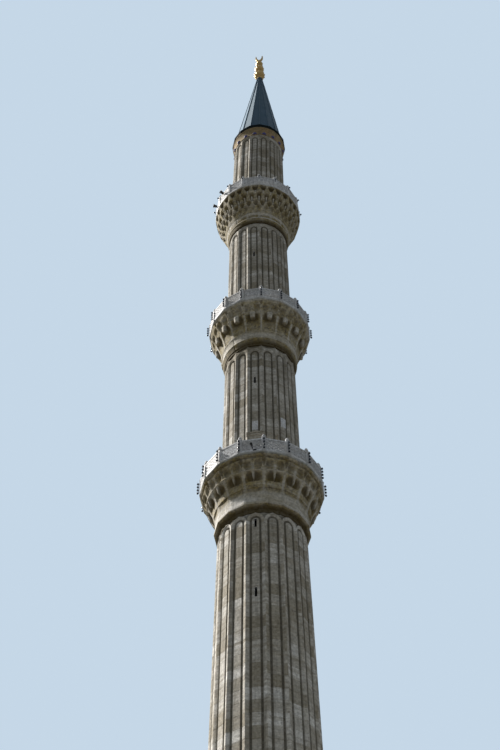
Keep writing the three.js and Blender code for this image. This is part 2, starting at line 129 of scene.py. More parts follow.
# Floor: a plain pale slab that the plinth stands on. It is a stage for the render and no piece of the
# tower.
def clouds(tree, place, scale, detail=5.0, roughness=0.55):
    """Soft noise from 0 to 1."""
    values = {"Vector": place, "Scale": scale, "Detail": detail, "Roughness": roughness}
    return wire(tree, "ShaderNodeTexNoise", values)


def new_finish(name):
    """A material, its tree, the place on a piece that its patterns follow, and its shader."""
    material = bpy.data.materials.new(name)
    material.use_nodes = True
    tree = material.node_tree
    return material, tree, wire(tree, "ShaderNodeTexCoord", out="Object"), tree.nodes["Principled BSDF"]


def plain_finish(name, colour, roughness, gloss=0.5):
    """A finish whose colour drifts a little from place to place."""
    material, tree, place, shader = new_finish(name)
    dark = [0.8 * part for part in colour] + [1]
    light = [min(1.0, 1.15 * part) for part in colour] + [1]
    drift = mixed(tree, clouds(tree, place, 3.0, 6.0, 0.5), dark, light)
    fed(tree, shader, {"Base Color": drift, "Roughness": roughness, "Specular IOR Level": gloss})
    return material


def mesh_piece(name, points, faces, finish=None):
    """A piece from points in millimetres of the full-size tower and its faces."""
    mesh = bpy.data.meshes.new(name)
    metres = np.asarray(points, float).reshape(-1, 3) * MM
    mesh.from_pydata(metres.tolist(), [], [list(face) for face in faces])
    if finish:
        mesh.materials.append(finish)
    return in_scene(name, mesh)


def between_rings(rings, count, start=0):
    """The faces between rings of that many points each. Start is the number of the first point."""
    return [(ring + i, ring + (i + 1) % count, ring + count + (i + 1) % count, ring + count + i)
            for ring in range(start, start + (rings - 1) * count, count) for i in range(count)]


def block(name, low, high, finish=None):
    """A plain block between two opposite corners."""
    (left, front, foot), (right, back, top) = low, high
    points = [(x, y, z) for z in (foot, top)
              for x, y in ((left, front), (right, front), (right, back), (left, back))]
    return mesh_piece(name, points, [(3, 2, 1, 0), (4, 5, 6, 7)] + between_rings(2, 4), finish)


floor_half, floor_depth, floor_gap = 9000, 200, 1
block("floor", (-floor_half, -floor_half, -floor_depth), (floor_half, floor_half, -floor_gap),
               plain_finish("pale_floor", (0.47, 0.465, 0.45), 0.9))


# Plinth: courses of large squared limestone blocks under the square foot of the tower, set in lime
# mortar with their edges dressed back a little.
def reckon(tree, operation, first, second=None, third=None):
    """The number that a sum of one, two or three others gives."""
    values = {i: value for i, value in enumerate((first, second, third)) if value is not None}
    return wire(tree, "ShaderNodeMath", values, operation=operation)


def stretched(tree, place, across, up):
    """The place scaled across the tower and up it, for a pattern that is finer one way."""
    return wire(tree, "ShaderNodeMapping", {"Vector": place, "Scale": (across, across, up)})


def bumped(tree, height, depth, strength):
    """The facing of a surface with that relief, its depth in metres of the model."""
    return wire(tree, "ShaderNodeBump", {"Height": height, "Distance": depth, "Strength": strength})


# The darkest colour stands for dirt in rain streaks and moss, and for painted shade in hollows and high up.
def stone_finish(name, pale, deep, soot_and_shade, stain, moss, rain=0.5, shade_aloft=0.0, relief=0.004, roughness=0.88):
    """Weathered stone: each block has its own tone, rain runs down it in dark streaks, moss grows under its
    ledges and its hollows are painted dark as shade. The mesh says the tone, shade and moss of each place."""
    material, tree, place, shader = new_finish(name)
    tone, hollow_shade, mossy = (wire(tree, "ShaderNodeAttribute", out="Fac", attribute_name=label)
                           for label in ("tone", "hollow_shade", "moss"))
    height = wire(tree, "ShaderNodeSeparateXYZ", {"Vector": place}, out="Z")
    patches = clouds(tree, place, 1.7)
    blotches = clouds(tree, place, 7.0)
    mottle = clouds(tree, place, 22.0, 6.0, 0.62)
    streaks = clouds(tree, stretched(tree, place, 13.0, 0.9), 1.0, 4.0)
    beds = clouds(tree, stretched(tree, place, 1.3, 14.0), 1.0, 5.0, 0.62)
    colour = mixed(tree, remapped(tree, tone, 0.15, 0.85), deep, pale)
    colour = mixed(tree, remapped(tree, patches, 0.48, 0.72, 0.0, 0.55), colour, stain)
    colour = mixed(tree, remapped(tree, beds, 0.45, 0.62, 0.0, 0.62), colour, stain)
    grey = mixed(tree, remapped(tree, mottle, 0.3, 0.7), (0.62, 0.62, 0.62, 1), (1.3, 1.3, 1.3, 1))
    colour = mixed(tree, 1.0, colour, grey, "MULTIPLY")
    colour = mixed(tree, remapped(tree, streaks, 0.5, 0.74, 0.0, rain), colour, soot_and_shade)
    # Painted shade: from 13 to 20 m of the model upwards the stone darkens, standing in for less light
    # bounced up from the ground.
    colour = mixed(tree, remapped(tree, height, 13.0, 20.0, 0.0, shade_aloft), colour, soot_and_shade)
    growth = reckon(tree, "MULTIPLY", mossy, remapped(tree, blotches, 0.32, 0.6, 1.0, 0.5))
    colour = mixed(tree, growth, colour, mixed(tree, remapped(tree, mottle, 0.35, 0.65), soot_and_shade, moss))
    # Painted shade: the hollows are mixed towards the darkest colour by the shade value that the mesh keeps
    # for them.
    hollow_shade_amount = reckon(tree, "MULTIPLY", hollow_shade, remapped(tree, mottle, 0.3, 0.62, 0.55, 1.0))
    colour = mixed(tree, hollow_shade_amount, colour, soot_and_shade)
    grain = reckon(tree, "ADD", mottle, clouds(tree, place, 140.0, 4.0))
    fed(tree, shader, {"Base Color": colour, "Roughness": roughness, "Specular IOR Level": 0.2,
                       "Normal": bumped(tree, grain, relief, 0.8)})
    return material


def new_tree(name, *inputs):
    """A Geometry Nodes tree with those inputs: the tree, its inputs' sockets and its output node."""
    tree = bpy.data.node_groups.new(name, "GeometryNodeTree")
    for label, kind in (("Geometry", "Geometry"), *inputs):
        tree.interface.new_socket(label, in_out="INPUT", socket_type="NodeSocket" + kind)
    tree.interface.new_socket("Geometry", in_out="OUTPUT", socket_type="NodeSocketGeometry")
    return tree, tree.nodes.new("NodeGroupInput").outputs, tree.nodes.new("NodeGroupOutput")


def shaped(tree, kind, geometry, values=None, **settings):
    """The geometry after a node of that kind."""
    return wire(tree, "GeometryNode" + kind, {0: geometry, **(values or {})}, **settings)


def noted(tree, geometry, name, value, kind, domain):
    """The geometry with that value kept on it under a name."""
    return shaped(tree, "StoreNamedAttribute", geometry, {"Name": name, "Value": value}, data_type=kind,
                  domain=domain)


def recalled(tree, name, kind="FLOAT"):
    """The value that the geometry keeps under that name."""
    return wire(tree, "GeometryNodeInputNamedAttribute", {"Name": name}, out="Attribute", data_type=kind)


def drawn(tree, low, high, **sockets):
    """A random number between two others."""
    return wire(tree, "FunctionNodeRandomValue", {2: low, 3: high, **sockets}, out=1, data_type="FLOAT")


def plain_mesh(piece):
    """The piece with its modifiers turned into plain mesh."""
    evaluated = piece.evaluated_get(bpy.context.evaluated_depsgraph_get())
    mesh = bpy.data.meshes.new_from_object(evaluated)
    piece.modifiers.clear()
    piece.data = mesh
    return piece


def grown(piece, tree, **inputs):
    """Grows the piece through the tree and keeps the result as its plain mesh."""
    modifier = piece.modifiers.new(tree.name, "NODES")
    modifier.node_group = tree
    for socket in tree.interface.items_tree:
        if socket.in_out == "INPUT" and socket.name in inputs:
            modifier[socket.identifier] = inputs[socket.name]
    return plain_mesh(piece)


def moved(piece, turn=0, x=0, y=0, z=0, pitch=0):
    """The piece tipped about X, shifted and then turned about the tower's axis."""
    shift = Matrix.Translation((x * MM, y * MM, z * MM))
    piece.data.transform(Matrix.Rotation(turn, 4, "Z") @ shift @ Matrix.Rotation(pitch, 4, "X"))
    return piece


def smoothed(piece, angle=35):
    """Smooth faces, with a sharp edge wherever they meet at more than that angle."""
    piece.data.polygons.foreach_set("use_smooth", [True] * len(piece.data.polygons))
    piece.data.set_sharp_from_angle(angle=math.radians(angle))
    return piece


def joined(name, pieces):
    """One piece from several."""
    with bpy.context.temp_override(active_object=pieces[0], selected_editable_objects=pieces):
        bpy.ops.object.join()
    pieces[0].name = pieces[0].data.name = name
    return pieces[0]


def settled(piece, slot, *nodes):
    """The piece rides on the tower and stands for those nodes, which are hidden. The slot is not used."""
    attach(piece, "root")
    if nodes:
        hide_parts(*nodes)
    return piece


def faced(finish, *nodes):
    """Gives the solid model's own nodes that finish, where they stay in view."""
    for node in nodes:
        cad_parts[node].data.materials.clear()
        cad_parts[node].data.materials.append(finish)


coursed, given, out = new_tree("courses_of_stone", ("Columns", "Int"), ("Rows", "Int"), ("Width", "Float"),
                               ("Height", "Float"), ("Joint", "Float"), ("Seed", "Int"),
                               ("Material", "Material"))
across = reckon(coursed, "ADD", given["Columns"], 1.0)
order = wire(coursed, "GeometryNodeInputIndex")
row = reckon(coursed, "FLOOR", reckon(coursed, "DIVIDE", reckon(coursed, "ADD", order, 0.5), across))
column = reckon(coursed, "SUBTRACT", order, reckon(coursed, "MULTIPLY", row, across))
long = reckon(coursed, "DIVIDE", given["Width"], given["Columns"])
tall = reckon(coursed, "DIVIDE", given["Height"], given["Rows"])
shift = reckon(coursed, "MULTIPLY", reckon(coursed, "MODULO", row, 2.0), 0.5)
begin = reckon(coursed, "MULTIPLY", reckon(coursed, "SUBTRACT", column, shift), long)
left = reckon(coursed, "MAXIMUM", begin, 0.0)
right = reckon(coursed, "MINIMUM", reckon(coursed, "ADD", begin, long), given["Width"])
length = reckon(coursed, "SUBTRACT", right, left)
wall_end = reckon(coursed, "MULTIPLY", given["Width"], -0.5)
middle = reckon(coursed, "MULTIPLY_ADD", reckon(coursed, "ADD", left, right), 0.5, wall_end)
level = reckon(coursed, "MULTIPLY", reckon(coursed, "ADD", row, 0.5), tall)
spot = wire(coursed, "ShaderNodeCombineXYZ", {"X": middle, "Z": level})
count = reckon(coursed, "MULTIPLY", across, given["Rows"])
laid = wire(coursed, "GeometryNodeMeshLine", {"Count": count, "Offset": (0, 0, 0)})
laid = shaped(coursed, "SetPosition", laid, {"Position": spot})
laid = noted(coursed, laid, "length", length, "FLOAT", "POINT")
shortest = 0.001
missing = wire(coursed, "FunctionNodeCompare", {0: length, 1: shortest}, data_type="FLOAT",
               operation="LESS_THAN")
laid = shaped(coursed, "DeleteGeometry", laid, {"Selection": missing}, domain="POINT")
stone_long = reckon(coursed, "SUBTRACT", recalled(coursed, "length"), given["Joint"])
stone_tall = reckon(coursed, "SUBTRACT", tall, given["Joint"])
proud = drawn(coursed, 0.97, 1.06, Seed=given["Seed"])
size = wire(coursed, "ShaderNodeCombineXYZ", {"X": stone_long, "Y": proud, "Z": stone_tall})
laid = shaped(coursed, "InstanceOnPoints", laid, {"Instance": given["Geometry"], "Scale": size})
tone = drawn(coursed, 0.0, 1.0, Seed=reckon(coursed, "ADD", given["Seed"], 7.0))
laid = noted(coursed, laid, "tone", tone, "FLOAT", "INSTANCE")
laid = shaped(coursed, "RealizeInstances", laid)
fed(coursed, out, {0: shaped(coursed, "SetMaterial", laid, {"Material": given["Material"]})})


def walled(name, half_width, face, low, high, columns, rows, seed, turn=0, centre=0):
    """Courses of limestone on one side of the square foot, the backs of the stones sunk in the wall."""
    depth, proud, chamfer, chamfer_share, joint = 60, 10, 8, 0.02, 9
    unit = 1 / MM
    points = [(x * (1 - inset) * unit / 2, y, z * (1 - inset) * unit / 2)
              for y, inset in ((depth - proud, 0), (chamfer - proud, 0), (-proud, chamfer_share))
              for x, z in ((-1, -1), (1, -1), (1, 1), (-1, 1))]
    stone = mesh_piece(name, points, [(0, 3, 2, 1), (8, 9, 10, 11)] + between_rings(3, 4))
    grown(stone, coursed, Columns=columns, Rows=rows, Width=2 * half_width * MM, Height=(high - low) * MM,
          Joint=joint * MM, Seed=seed, Material=limestone)
    return moved(stone, turn, centre, -face, low)


def heights(node):
    """The lowest and highest level of a node, in millimetres of the full-size tower."""
    low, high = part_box(node)
    return low.z / MM, high.z / MM


limestone = stone_finish("limestone", pale=(0.80, 0.78, 0.735, 1), deep=(0.37, 0.335, 0.265, 1),
                         soot_and_shade=(0.12, 0.108, 0.082, 1), stain=(0.33, 0.285, 0.21, 1),
                         moss=(0.16, 0.15, 0.09, 1), shade_aloft=0.3)
plinth_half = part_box("plinth")[1].x / MM
plinth_low, plinth_high = heights("plinth")
plinth_columns, plinth_rows, corner_gap = 4, 2, 20
courses = [walled(f"plinth_side_{side}", plinth_half - corner_gap * (side % 2), plinth_half, plinth_low,
                  plinth_high, plinth_columns, plinth_rows, 11 + side, side * math.pi / 2)
           for side in range(4)]
settled(joined("plinth_blocks", courses), "limestone")
faced(limestone, "plinth")


# Pedestal: the square foot, with walls of coursed limestone ashlar round a hollow room and a low
# doorway to the stair. The stones break joint from course to course.
wall_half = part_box("pedestal_left")[1].y / MM
wall_low, wall_high = heights("pedestal_left")
door_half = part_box("pedestal_over_door")[1].x / MM
wall_columns, wall_rows, rows_beside_door = 4, 24, 5
lintel = wall_low + (wall_high - wall_low) * rows_beside_door / wall_rows
courses = [walled(f"wall_{side}", wall_half - corner_gap * (side % 2), wall_half, wall_low, wall_high,
                  wall_columns, wall_rows, 21 + side, side * math.pi / 2) for side in (1, 2, 3)]
courses.append(walled("wall_over_door", wall_half, wall_half, lintel, wall_high, wall_columns,
                      wall_rows - rows_beside_door, 31))
cheek_half = (wall_half - door_half) / 2
courses += [walled("wall_by_door", cheek_half, wall_half, wall_low, lintel, 2, rows_beside_door, 33 + sign,
                   centre=sign * (wall_half - cheek_half)) for sign in (-1, 1)]
settled(joined("pedestal_stones", courses), "limestone")
faced(limestone, "pedestal_left", "pedestal_right", "pedestal_back", "pedestal_front_left",
      "pedestal_front_right", "pedestal_over_door")


# Mouldings, collars and cornices are rings of dressed stone, one block to a side of the tower. A bay is
# one side of such a ring, and the ring is that bay set round the axis. FLAT is how far out the middle of
# a side is, for a corner at 1.
FLAT = math.cos(PITCH / 2)


def marked(piece, label, values, kind="FLOAT", domain="POINT"):
    """The piece with a value under that label on each of its points or faces."""
    piece.data.attributes.new(label, kind, domain).data.foreach_set("value", values)
    return piece


def bay_mesh(name, points, hollow_shade=None, moss=None, course=None, part=None):
    """A bay from a grid of points, whose rows run round its section and columns round the tower."""
    rows, columns = points.shape[:2]
    lower = np.arange(rows * columns).reshape(rows, columns)
    upper = np.roll(lower, -1, 0)
    faces = np.stack([lower[:, :-1], lower[:, 1:], upper[:, 1:], upper[:, :-1]], -1)
    piece = mesh_piece(name, points, faces.reshape(-1, 4).tolist())
    for label, values in (("course", course), ("part", part)):
        if values is not None:
            spread = np.broadcast_to(values, faces.shape[:2])
            marked(piece, label, spread.astype(np.int32).ravel(), "INT", "FACE")
    for label, values in (("hollow_shade", hollow_shade), ("moss", moss)):
        if values is not None:
            marked(piece, label, np.broadcast_to(values, (rows, columns)).astype(np.float32).ravel())
    return piece


ringed, given, out = new_tree("ring_of_bays", ("Count", "Int"), ("Seed", "Int"), ("Wear", "Float"),
                              ("Material", "Material"))
order = wire(ringed, "GeometryNodeInputIndex")
turn = reckon(ringed, "MULTIPLY", order, reckon(ringed, "DIVIDE", 2 * math.pi, given["Count"]))
turning = wire(ringed, "ShaderNodeCombineXYZ", {"Z": turn})
ring = wire(ringed, "GeometryNodeMeshLine", {"Count": given["Count"], "Offset": (0, 0, 0)})
ring = shaped(ringed, "InstanceOnPoints", ring, {"Instance": given["Geometry"], "Rotation": turning})
ring = noted(ringed, ring, "sector", order, "INT", "INSTANCE")
ring = shaped(ringed, "RealizeInstances", ring)
sector, course, part = (recalled(ringed, label, "INT") for label in ("sector", "course", "part"))
odd = reckon(ringed, "MODULO", course, 2.0)
pair = reckon(ringed, "FLOOR", reckon(ringed, "MULTIPLY", reckon(ringed, "ADD", sector, odd), 0.5))
block_code = reckon(ringed, "MULTIPLY_ADD", course, 64.0, pair)
face_code = reckon(ringed, "MULTIPLY_ADD", reckon(ringed, "MULTIPLY_ADD", course, 64.0, sector), 8.0, part)
block_tone = drawn(ringed, 0.0, 0.55, ID=block_code, Seed=given["Seed"])
face_tone = drawn(ringed, 0.0, 0.45, ID=face_code, Seed=given["Seed"])
ring = noted(ringed, ring, "tone", reckon(ringed, "ADD", block_tone, face_tone), "FLOAT", "FACE")
ring = shaped(ringed, "MergeByDistance", ring, {"Distance": 0.00002})
rough = wire(ringed, "ShaderNodeTexNoise", {"Scale": 9.0, "Detail": 3.0})
amount = reckon(ringed, "MULTIPLY", reckon(ringed, "SUBTRACT", rough, 0.5), given["Wear"])
facing = wire(ringed, "GeometryNodeInputNormal")
worn = wire(ringed, "ShaderNodeVectorMath", {0: facing, "Scale": amount}, operation="SCALE")
ring = shaped(ringed, "SetPosition", ring, {"Offset": worn})
fed(ringed, out, {0: shaped(ringed, "SetMaterial", ring, {"Material": given["Material"]})})


def bowed(start, end, bow, steps=6):
    """Points from start to end on an arc that bows out by that much, or in where it is negative."""
    (r0, z0), (r1, z1) = start, end
    length = math.hypot(r1 - r0, z1 - z0)
    out_r, out_z = (z1 - z0) / length, -(r1 - r0) / length
    return [(r0 + (r1 - r0) * i / steps + out_r * bow * math.sin(math.pi * i / steps),
             z0 + (z1 - z0) * i / steps + out_z * bow * math.sin(math.pi * i / steps))
            for i in range(steps + 1)]


def round_axis(radius, turn, height):
    """The point at that radius from the axis and that turn from the front."""
    return radius * math.sin(turn), -radius * math.cos(turn), height


def moulding_bay(name, profile, faceted, joint=7, columns=4, hollow_shade=None, moss=None):
    """One side of a ring with that profile of (radius, height) points, running up its outer side. Faceted
    rings have flat sides, and the edge of a stone is a share of its side."""
    edge = 0.018
    inner = np.linspace(-0.5 + edge, 0.5 - edge, columns)
    turns = np.concatenate([[-0.5], inner, [0.5]]) * PITCH
    sunk = np.concatenate([[joint], np.zeros(columns), [joint]])
    flat = FLAT / np.cos(turns) if faceted else np.ones_like(turns)
    grid = np.array([[round_axis((radius - dip) * side, turn, height)
                      for turn, side, dip in zip(turns, flat, sunk)] for radius, height in profile])
    return bay_mesh(name, grid, hollow_shade=hollow_shade, moss=moss)


def ring_of(piece, finish, seed, wear=5, count=SIDES, angle=35):
    """The piece set round the axis, worn by up to half of that much, with sharp edges kept."""
    return smoothed(grown(piece, ringed, Count=count, Seed=seed, Wear=wear * MM, Material=finish), angle)


# Cornice of the square foot: one course of moulded limestone blocks on the walls of the pedestal, six to
# a side and mitred at the corners.
corner_low, corner_high = heights("pedestal_cornice")
cornice_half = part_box("pedestal_cornice")[1].x / MM
room_half = -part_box("pedestal_left")[1].x / MM
cornice_profile = [(room_half, corner_low), (wall_half, corner_low), (wall_half + 60, corner_low + 20),
                   (wall_half + 60, corner_low + 90)]
cornice_profile += bowed((wall_half + 90, corner_low + 110), (cornice_half - 30, corner_high - 190), -55)
cornice_profile += [(cornice_half, corner_high - 170), (cornice_half, corner_high - 20),
                    (cornice_half - 20, corner_high), (room_half, corner_high)]
blocks, block_edge, block_joint = 6, 0.006, 8
seams = [2 * i / blocks - 1 for i in range(blocks + 1)]
places = sorted([(seam, block_joint) for seam in seams] + [(seam - block_edge, 0) for seam in seams[1:]]
                + [(seam + block_edge, 0) for seam in seams[:-1]])
grid = np.array([[((half - dip) * place, dip - half, height) for place, dip in places]
                 for half, height in cornice_profile])
cornice = bay_mesh("pedestal_cornice_stone", grid, part=np.cumsum([dip > 0 for place, dip in places[:-1]]))
settled(ring_of(cornice, limestone, 5, count=4), "limestone", "pedestal_cornice")


# Transition: sloping courses of limestone take the square foot over to the sixteen sides of the shaft.
# Four corners of the top stand over each corner of the square.
slope_low, slope_high = heights("transition")
wall_top_radius, well = 1860, 1200
slope_courses, square_foot, bed_gap, bed_sunk = 9, 300, 7, 9
levels = [(slope_low, 0), (slope_low + square_foot, 0), (slope_high, 0)]
for i in range(1, slope_courses):
    seam = slope_low + (slope_high - slope_low) * i / slope_courses
    levels += [(seam - bed_gap, 0), (seam, bed_sunk), (seam + bed_gap, 0)]
levels.sort()
corner_turns = [0] + [PITCH * (k + 0.5) for k in range(4)] + [math.pi / 2]
square_plan = [(0, 1)] + [(1, 1)] * 4 + [(1, 0)]
grid = [[round_axis(well, turn, slope_low) for turn in corner_turns]]
course = [0]
for height, dip in levels:
    share = max(0.0, (height - slope_low - square_foot) / (slope_high - slope_low - square_foot))
    shrink = 1 - dip / (wall_half if share < 0.5 else wall_top_radius)
    row = []
    for turn, (x, y) in zip(corner_turns, square_plan):
        top_x, top_y = round_axis(wall_top_radius * (1 if x * y else FLAT), turn, height)[:2]
        row.append((((1 - share) * x * wall_half + share * top_x) * shrink,
                    (share * top_y - (1 - share) * y * wall_half) * shrink, height))
    grid.append(row)
    course.append(int((height - slope_low) / (slope_high - slope_low) * slope_courses + 0.001))
grid.append([round_axis(well, turn, slope_high) for turn in corner_turns])
slope = bay_mesh("transition_stone", np.array(grid), course=np.array(course + [0])[:, None],
                 part=np.arange(len(corner_turns) - 1)[None, :])
settled(ring_of(slope, limestone, 9, count=4), "limestone", "transition")


# Ring moulding: a stout roll of carved limestone under the foot of the shaft, between two fillets.
# One block spans each side, and the shaft stands on it.
carved_stone = stone_finish("carved_stone", pale=(0.68, 0.66, 0.62, 1), deep=(0.44, 0.415, 0.36, 1),
                            soot_and_shade=(0.065, 0.047, 0.018, 1), stain=(0.38, 0.33, 0.22, 1),
                            moss=(0.37, 0.28, 0.075, 1), rain=0.25)
ring_low, ring_high = heights("ring_moulding")
roll_bow, roll_step, fillet = 150, 10, 90
roll_profile = [(well, ring_low), (wall_top_radius, ring_low), (wall_top_radius, ring_low + fillet)]
roll_profile += bowed((wall_top_radius + roll_step, ring_low + fillet),
                      (wall_top_radius + roll_step, ring_high - fillet), roll_bow, 10)
roll_profile += [(wall_top_radius, ring_high - fillet), (wall_top_radius, ring_high), (well, ring_high)]
roll = ring_of(moulding_bay("ring_moulding_stone", roll_profile, True), carved_stone, 13)
settled(roll, "carved_stone", "ring_moulding")


# Shaft: sixteen flutes in each storey, cut in limestone courses about 45 cm tall, two flutes to a stone.
# A flute is a flat panel inside a hollow moulding, between splayed strips that meet in a sharp arris, and
# its head is an arch, whose outer edge is round or, in the first and third storeys, peaked.
storeys = [
    dict(nodes=("shaft_1_lower", "shaft_1_upper"), low=16800, high=30820, foot=1800, head=1598, well=1200,
         gap=45, over_panel=30800, over_arris=30460, step=75, slits=(27050, 30150)),
    dict(nodes=("shaft_2",), low=33170, high=40350, foot=1508, head=1450, well=1080, gap=190,
         over_panel=40190, over_arris=40325, step=40, slits=(38000,), door_top=1850),
    dict(nodes=("shaft_3",), low=42755, high=49820, foot=1399, head=1360, well=1000, gap=120,
         over_panel=49775, over_arris=49670, step=36, slits=(47080,), door_top=1640),
    dict(nodes=("shaft_4",), low=52212, high=58560, foot=1335, head=1270, well=950, gap=60,
         over_panel=58530, over_arris=58530, step=-8, slits=(), door_top=1850),
]
flute_radius, course_tall, sill_slope, arch_rise, flute_foot = 1600, 450, 30, 1.15, 320
half_side = flute_radius * math.sin(PITCH / 2)
splay, moulding_faces, strip_faces = 297, 8, 3
# Each point of a flute's section is its way from the middle, its depth and its painted shade, darkest in the
# groove of the moulding.
flute_section = [(0, 42, 0), (62, 42, 0), (125, 42, 0.05), (133, 72, 0.7), (150, 86, 1), (170, 90, 1),
                 (190, 84, 1), (206, 66, 0.7), (210, 42, 0.1), (253, 20, 0), (splay, 1, 0), (half_side, 0, 0)]
lip_proud, lip_share, peaked_lip_share = 16, 0.98, 0.88
bed_joint, bed_depth, last_bed, last_level = 7, 10, 80, 20
door_width, door_height, door_jamb = 440, 1450, 70
slit_width, slit_height, slit_lip = 84, 420, 55
inside_width, inside_height, inside_reach, cut_reach = 330, 600, 100, 750


def placed(storey, x, z, depth):
    """A point on the front side of the shaft, that far below the plane of its arrises."""
    share = (z - storey["low"]) / (storey["high"] - storey["low"])
    radius = storey["foot"] + (storey["head"] - storey["foot"]) * share
    return x * (radius - depth / FLAT) / flute_radius, depth - radius * FLAT, z


def flute_bay(storey, name):
    """One side of a storey with its flute, as a closed slice of the shaft round its well. The section of a
    flute is the way from its middle, the depth and the painted shade of each point."""
    low, high, step = storey["low"], storey["high"], storey["step"]
    over_panel, over_arris = storey["over_panel"], storey["over_arris"]
    spring = high - storey["gap"] - splay * arch_rise
    points, faces, course, part, hollow_shade = [], [], [], [], []

    def patch(grid, courses, parts, soot_and_shade, flip=False):
        """Adds a grid of points with its faces, and what each of them keeps."""
        start, columns = len(points), len(grid[0])
        for row, dark in zip(grid, soot_and_shade):
            points.extend(row)
            hollow_shade.extend(dark)
        for i in range(len(grid) - 1):
            for j in range(columns - 1):
                a = start + i * columns + j
                face = (a, a + columns, a + columns + 1, a + 1)
                faces.append(face[::-1] if flip else face)
                course.append(courses[i])
                part.append(parts[j])

    levels = [(low + flute_foot, 0)]
    for bed in np.arange(low + course_tall, spring - last_bed, course_tall):
        levels += [(bed - bed_joint, 0), (bed, bed_depth), (bed + bed_joint, 0), (bed + course_tall / 2, 0)]
    levels = sorted(level for level in levels if low + flute_foot <= level[0] < spring - last_level)
    number = [int((level - low + 1) // course_tall) for level, dip in levels]
    sections = [[placed(storey, -s, z, depth + dip) for s, depth, dark in flute_section] for z, dip in levels]
    arch_steps = 2 * (len(flute_section) - 1)
    peaked = over_panel > over_arris
    lip = splay * arch_rise + lip_proud
    if step > 0:
        lip = (over_panel - spring) * (peaked_lip_share if peaked else lip_share)
    for i in range(arch_steps + 1):
        angle = math.pi * (1 - i / arch_steps)
        section = []
        for s, depth, dark in flute_section:
            rise = lip if s == half_side else s * arch_rise
            section.append(placed(storey, s * math.cos(angle), spring + rise * math.sin(angle), depth))
        sections.append(section)
    sections += [[placed(storey, s, z, depth + dip) for s, depth, dark in flute_section]
                 for z, dip in reversed(levels)]
    courses = number + [number[-1] + 1] * (arch_steps + 1) + number[::-1]
    dark = [soot_and_shade for s, depth, soot_and_shade in flute_section]
    patch(sections, courses, [1] * moulding_faces + [2] * strip_faces, [dark] * len(sections))

    across = [(-s, depth) for s, depth, dark in reversed(flute_section)]
    across += [(s, depth) for s, depth, dark in flute_section[1:]]
    foot = [[placed(storey, x, low, 0) for x, depth in across],
            [placed(storey, x, low + flute_foot - sill_slope, 0) for x, depth in across],
            [placed(storey, x, low + flute_foot, depth) for x, depth in across]]
    patch(foot, [0, 0], [1] * len(across), [[0] * len(across)] * 3, flip=True)

    # Painted shade darkens the recess over the arch heads where it is set back, and the top of the lip near
    # the arrises.
    head, soot_and_shade = [[], [], [], [], []], [[], [], [], [], []]
    shade = 1.0 if step > 0 else 0.0
    for i in range(arch_steps + 1):
        x = half_side * math.cos(math.pi * (1 - i / arch_steps))
        aside = abs(x) / half_side
        edge = spring + lip * math.sin(math.pi * i / arch_steps)
        share = np.interp(aside, (0, 0.6, 1), (1, 0.68, 0)) if peaked else 1 - aside ** 2
        over = max(edge, over_arris + (over_panel - over_arris) * share)
        rows = ((edge, 0, 0), (over, 0, 0.5 * aside ** 6), (over + 5, step, shade),
                (over + 0.5 * (high - over), step, 0.8 * shade), (high, step, 0.8 * shade))
        for row, (z, depth, dark) in enumerate(rows):
            head[row].append(placed(storey, x, z, depth))
            soot_and_shade[row].append(dark)
    top = number[-1] + 2
    patch(head, [top - 1, top, top, top], [1] * arch_steps, soot_and_shade, flip=True)

    shell = [[round_axis(storey["well"], turn, z) for turn in np.linspace(-PITCH / 2, PITCH / 2, len(across))]
             for z in (high, low)]
    patch([head[-1], *shell, foot[0]], [top, 0, 0], [1] * len(across), [[0] * len(across)] * 4, flip=True)

    piece = mesh_piece(name, points, faces)
    marked(piece, "course", course, "INT", "FACE")
    marked(piece, "part", part, "INT", "FACE")
    return marked(piece, "hollow_shade", hollow_shade)


def cut_through(piece, openings):
    """Cuts blocks out of the piece, each between two opposite corners, and paints shade on the cut faces."""
    for low, high in openings:
        cutter = marked(block("cutter", low, high), "hollow_shade", [1] * 8)
        cut = piece.modifiers.new("opening", "BOOLEAN")
        cut.object, cut.operation, cut.solver = cutter, "DIFFERENCE", "MANIFOLD"
        plain_mesh(piece)
        bpy.data.objects.remove(cutter)
    return piece


lean_foot, lean = 52212, 0.015


def leant(piece):
    """The piece with the lean of the top storey: level planes are shifted to the right and stay level."""
    shear = Matrix.Identity(4)
    shear[0][2], shear[0][3] = lean, -lean * lean_foot * MM
    piece.data.transform(shear)
    return piece


for number, storey in enumerate(storeys, 1):
    shaft = grown(flute_bay(storey, f"shaft_stone_{number}"), ringed, Count=SIDES, Seed=40 + number,
                  Wear=6 * MM, Material=limestone)
    front, back = -storey["head"] - cut_reach, cut_reach - storey["head"]
    openings = []
    for sill in storey["slits"]:
        openings.append(((-slit_width / 2, front, sill), (slit_width / 2, back, sill + slit_height)))
        lip = placed(storey, 0, sill, flute_section[0][1] + slit_lip)[1]
        openings.append(((-inside_width / 2, lip, sill),
                         (inside_width / 2, inside_reach - storey["well"], sill + inside_height)))
    if number > 1:
        half = door_width / 2 + door_jamb + 1
        openings.append(((-half, front, storey["low"] - storey["door_top"]),
                         (half, back, storey["low"] + storey["door_top"])))
    shaft = smoothed(cut_through(shaft, openings), 30)
    settled(leant(shaft) if storey["low"] == lean_foot else shaft, "limestone", *storey["nodes"])
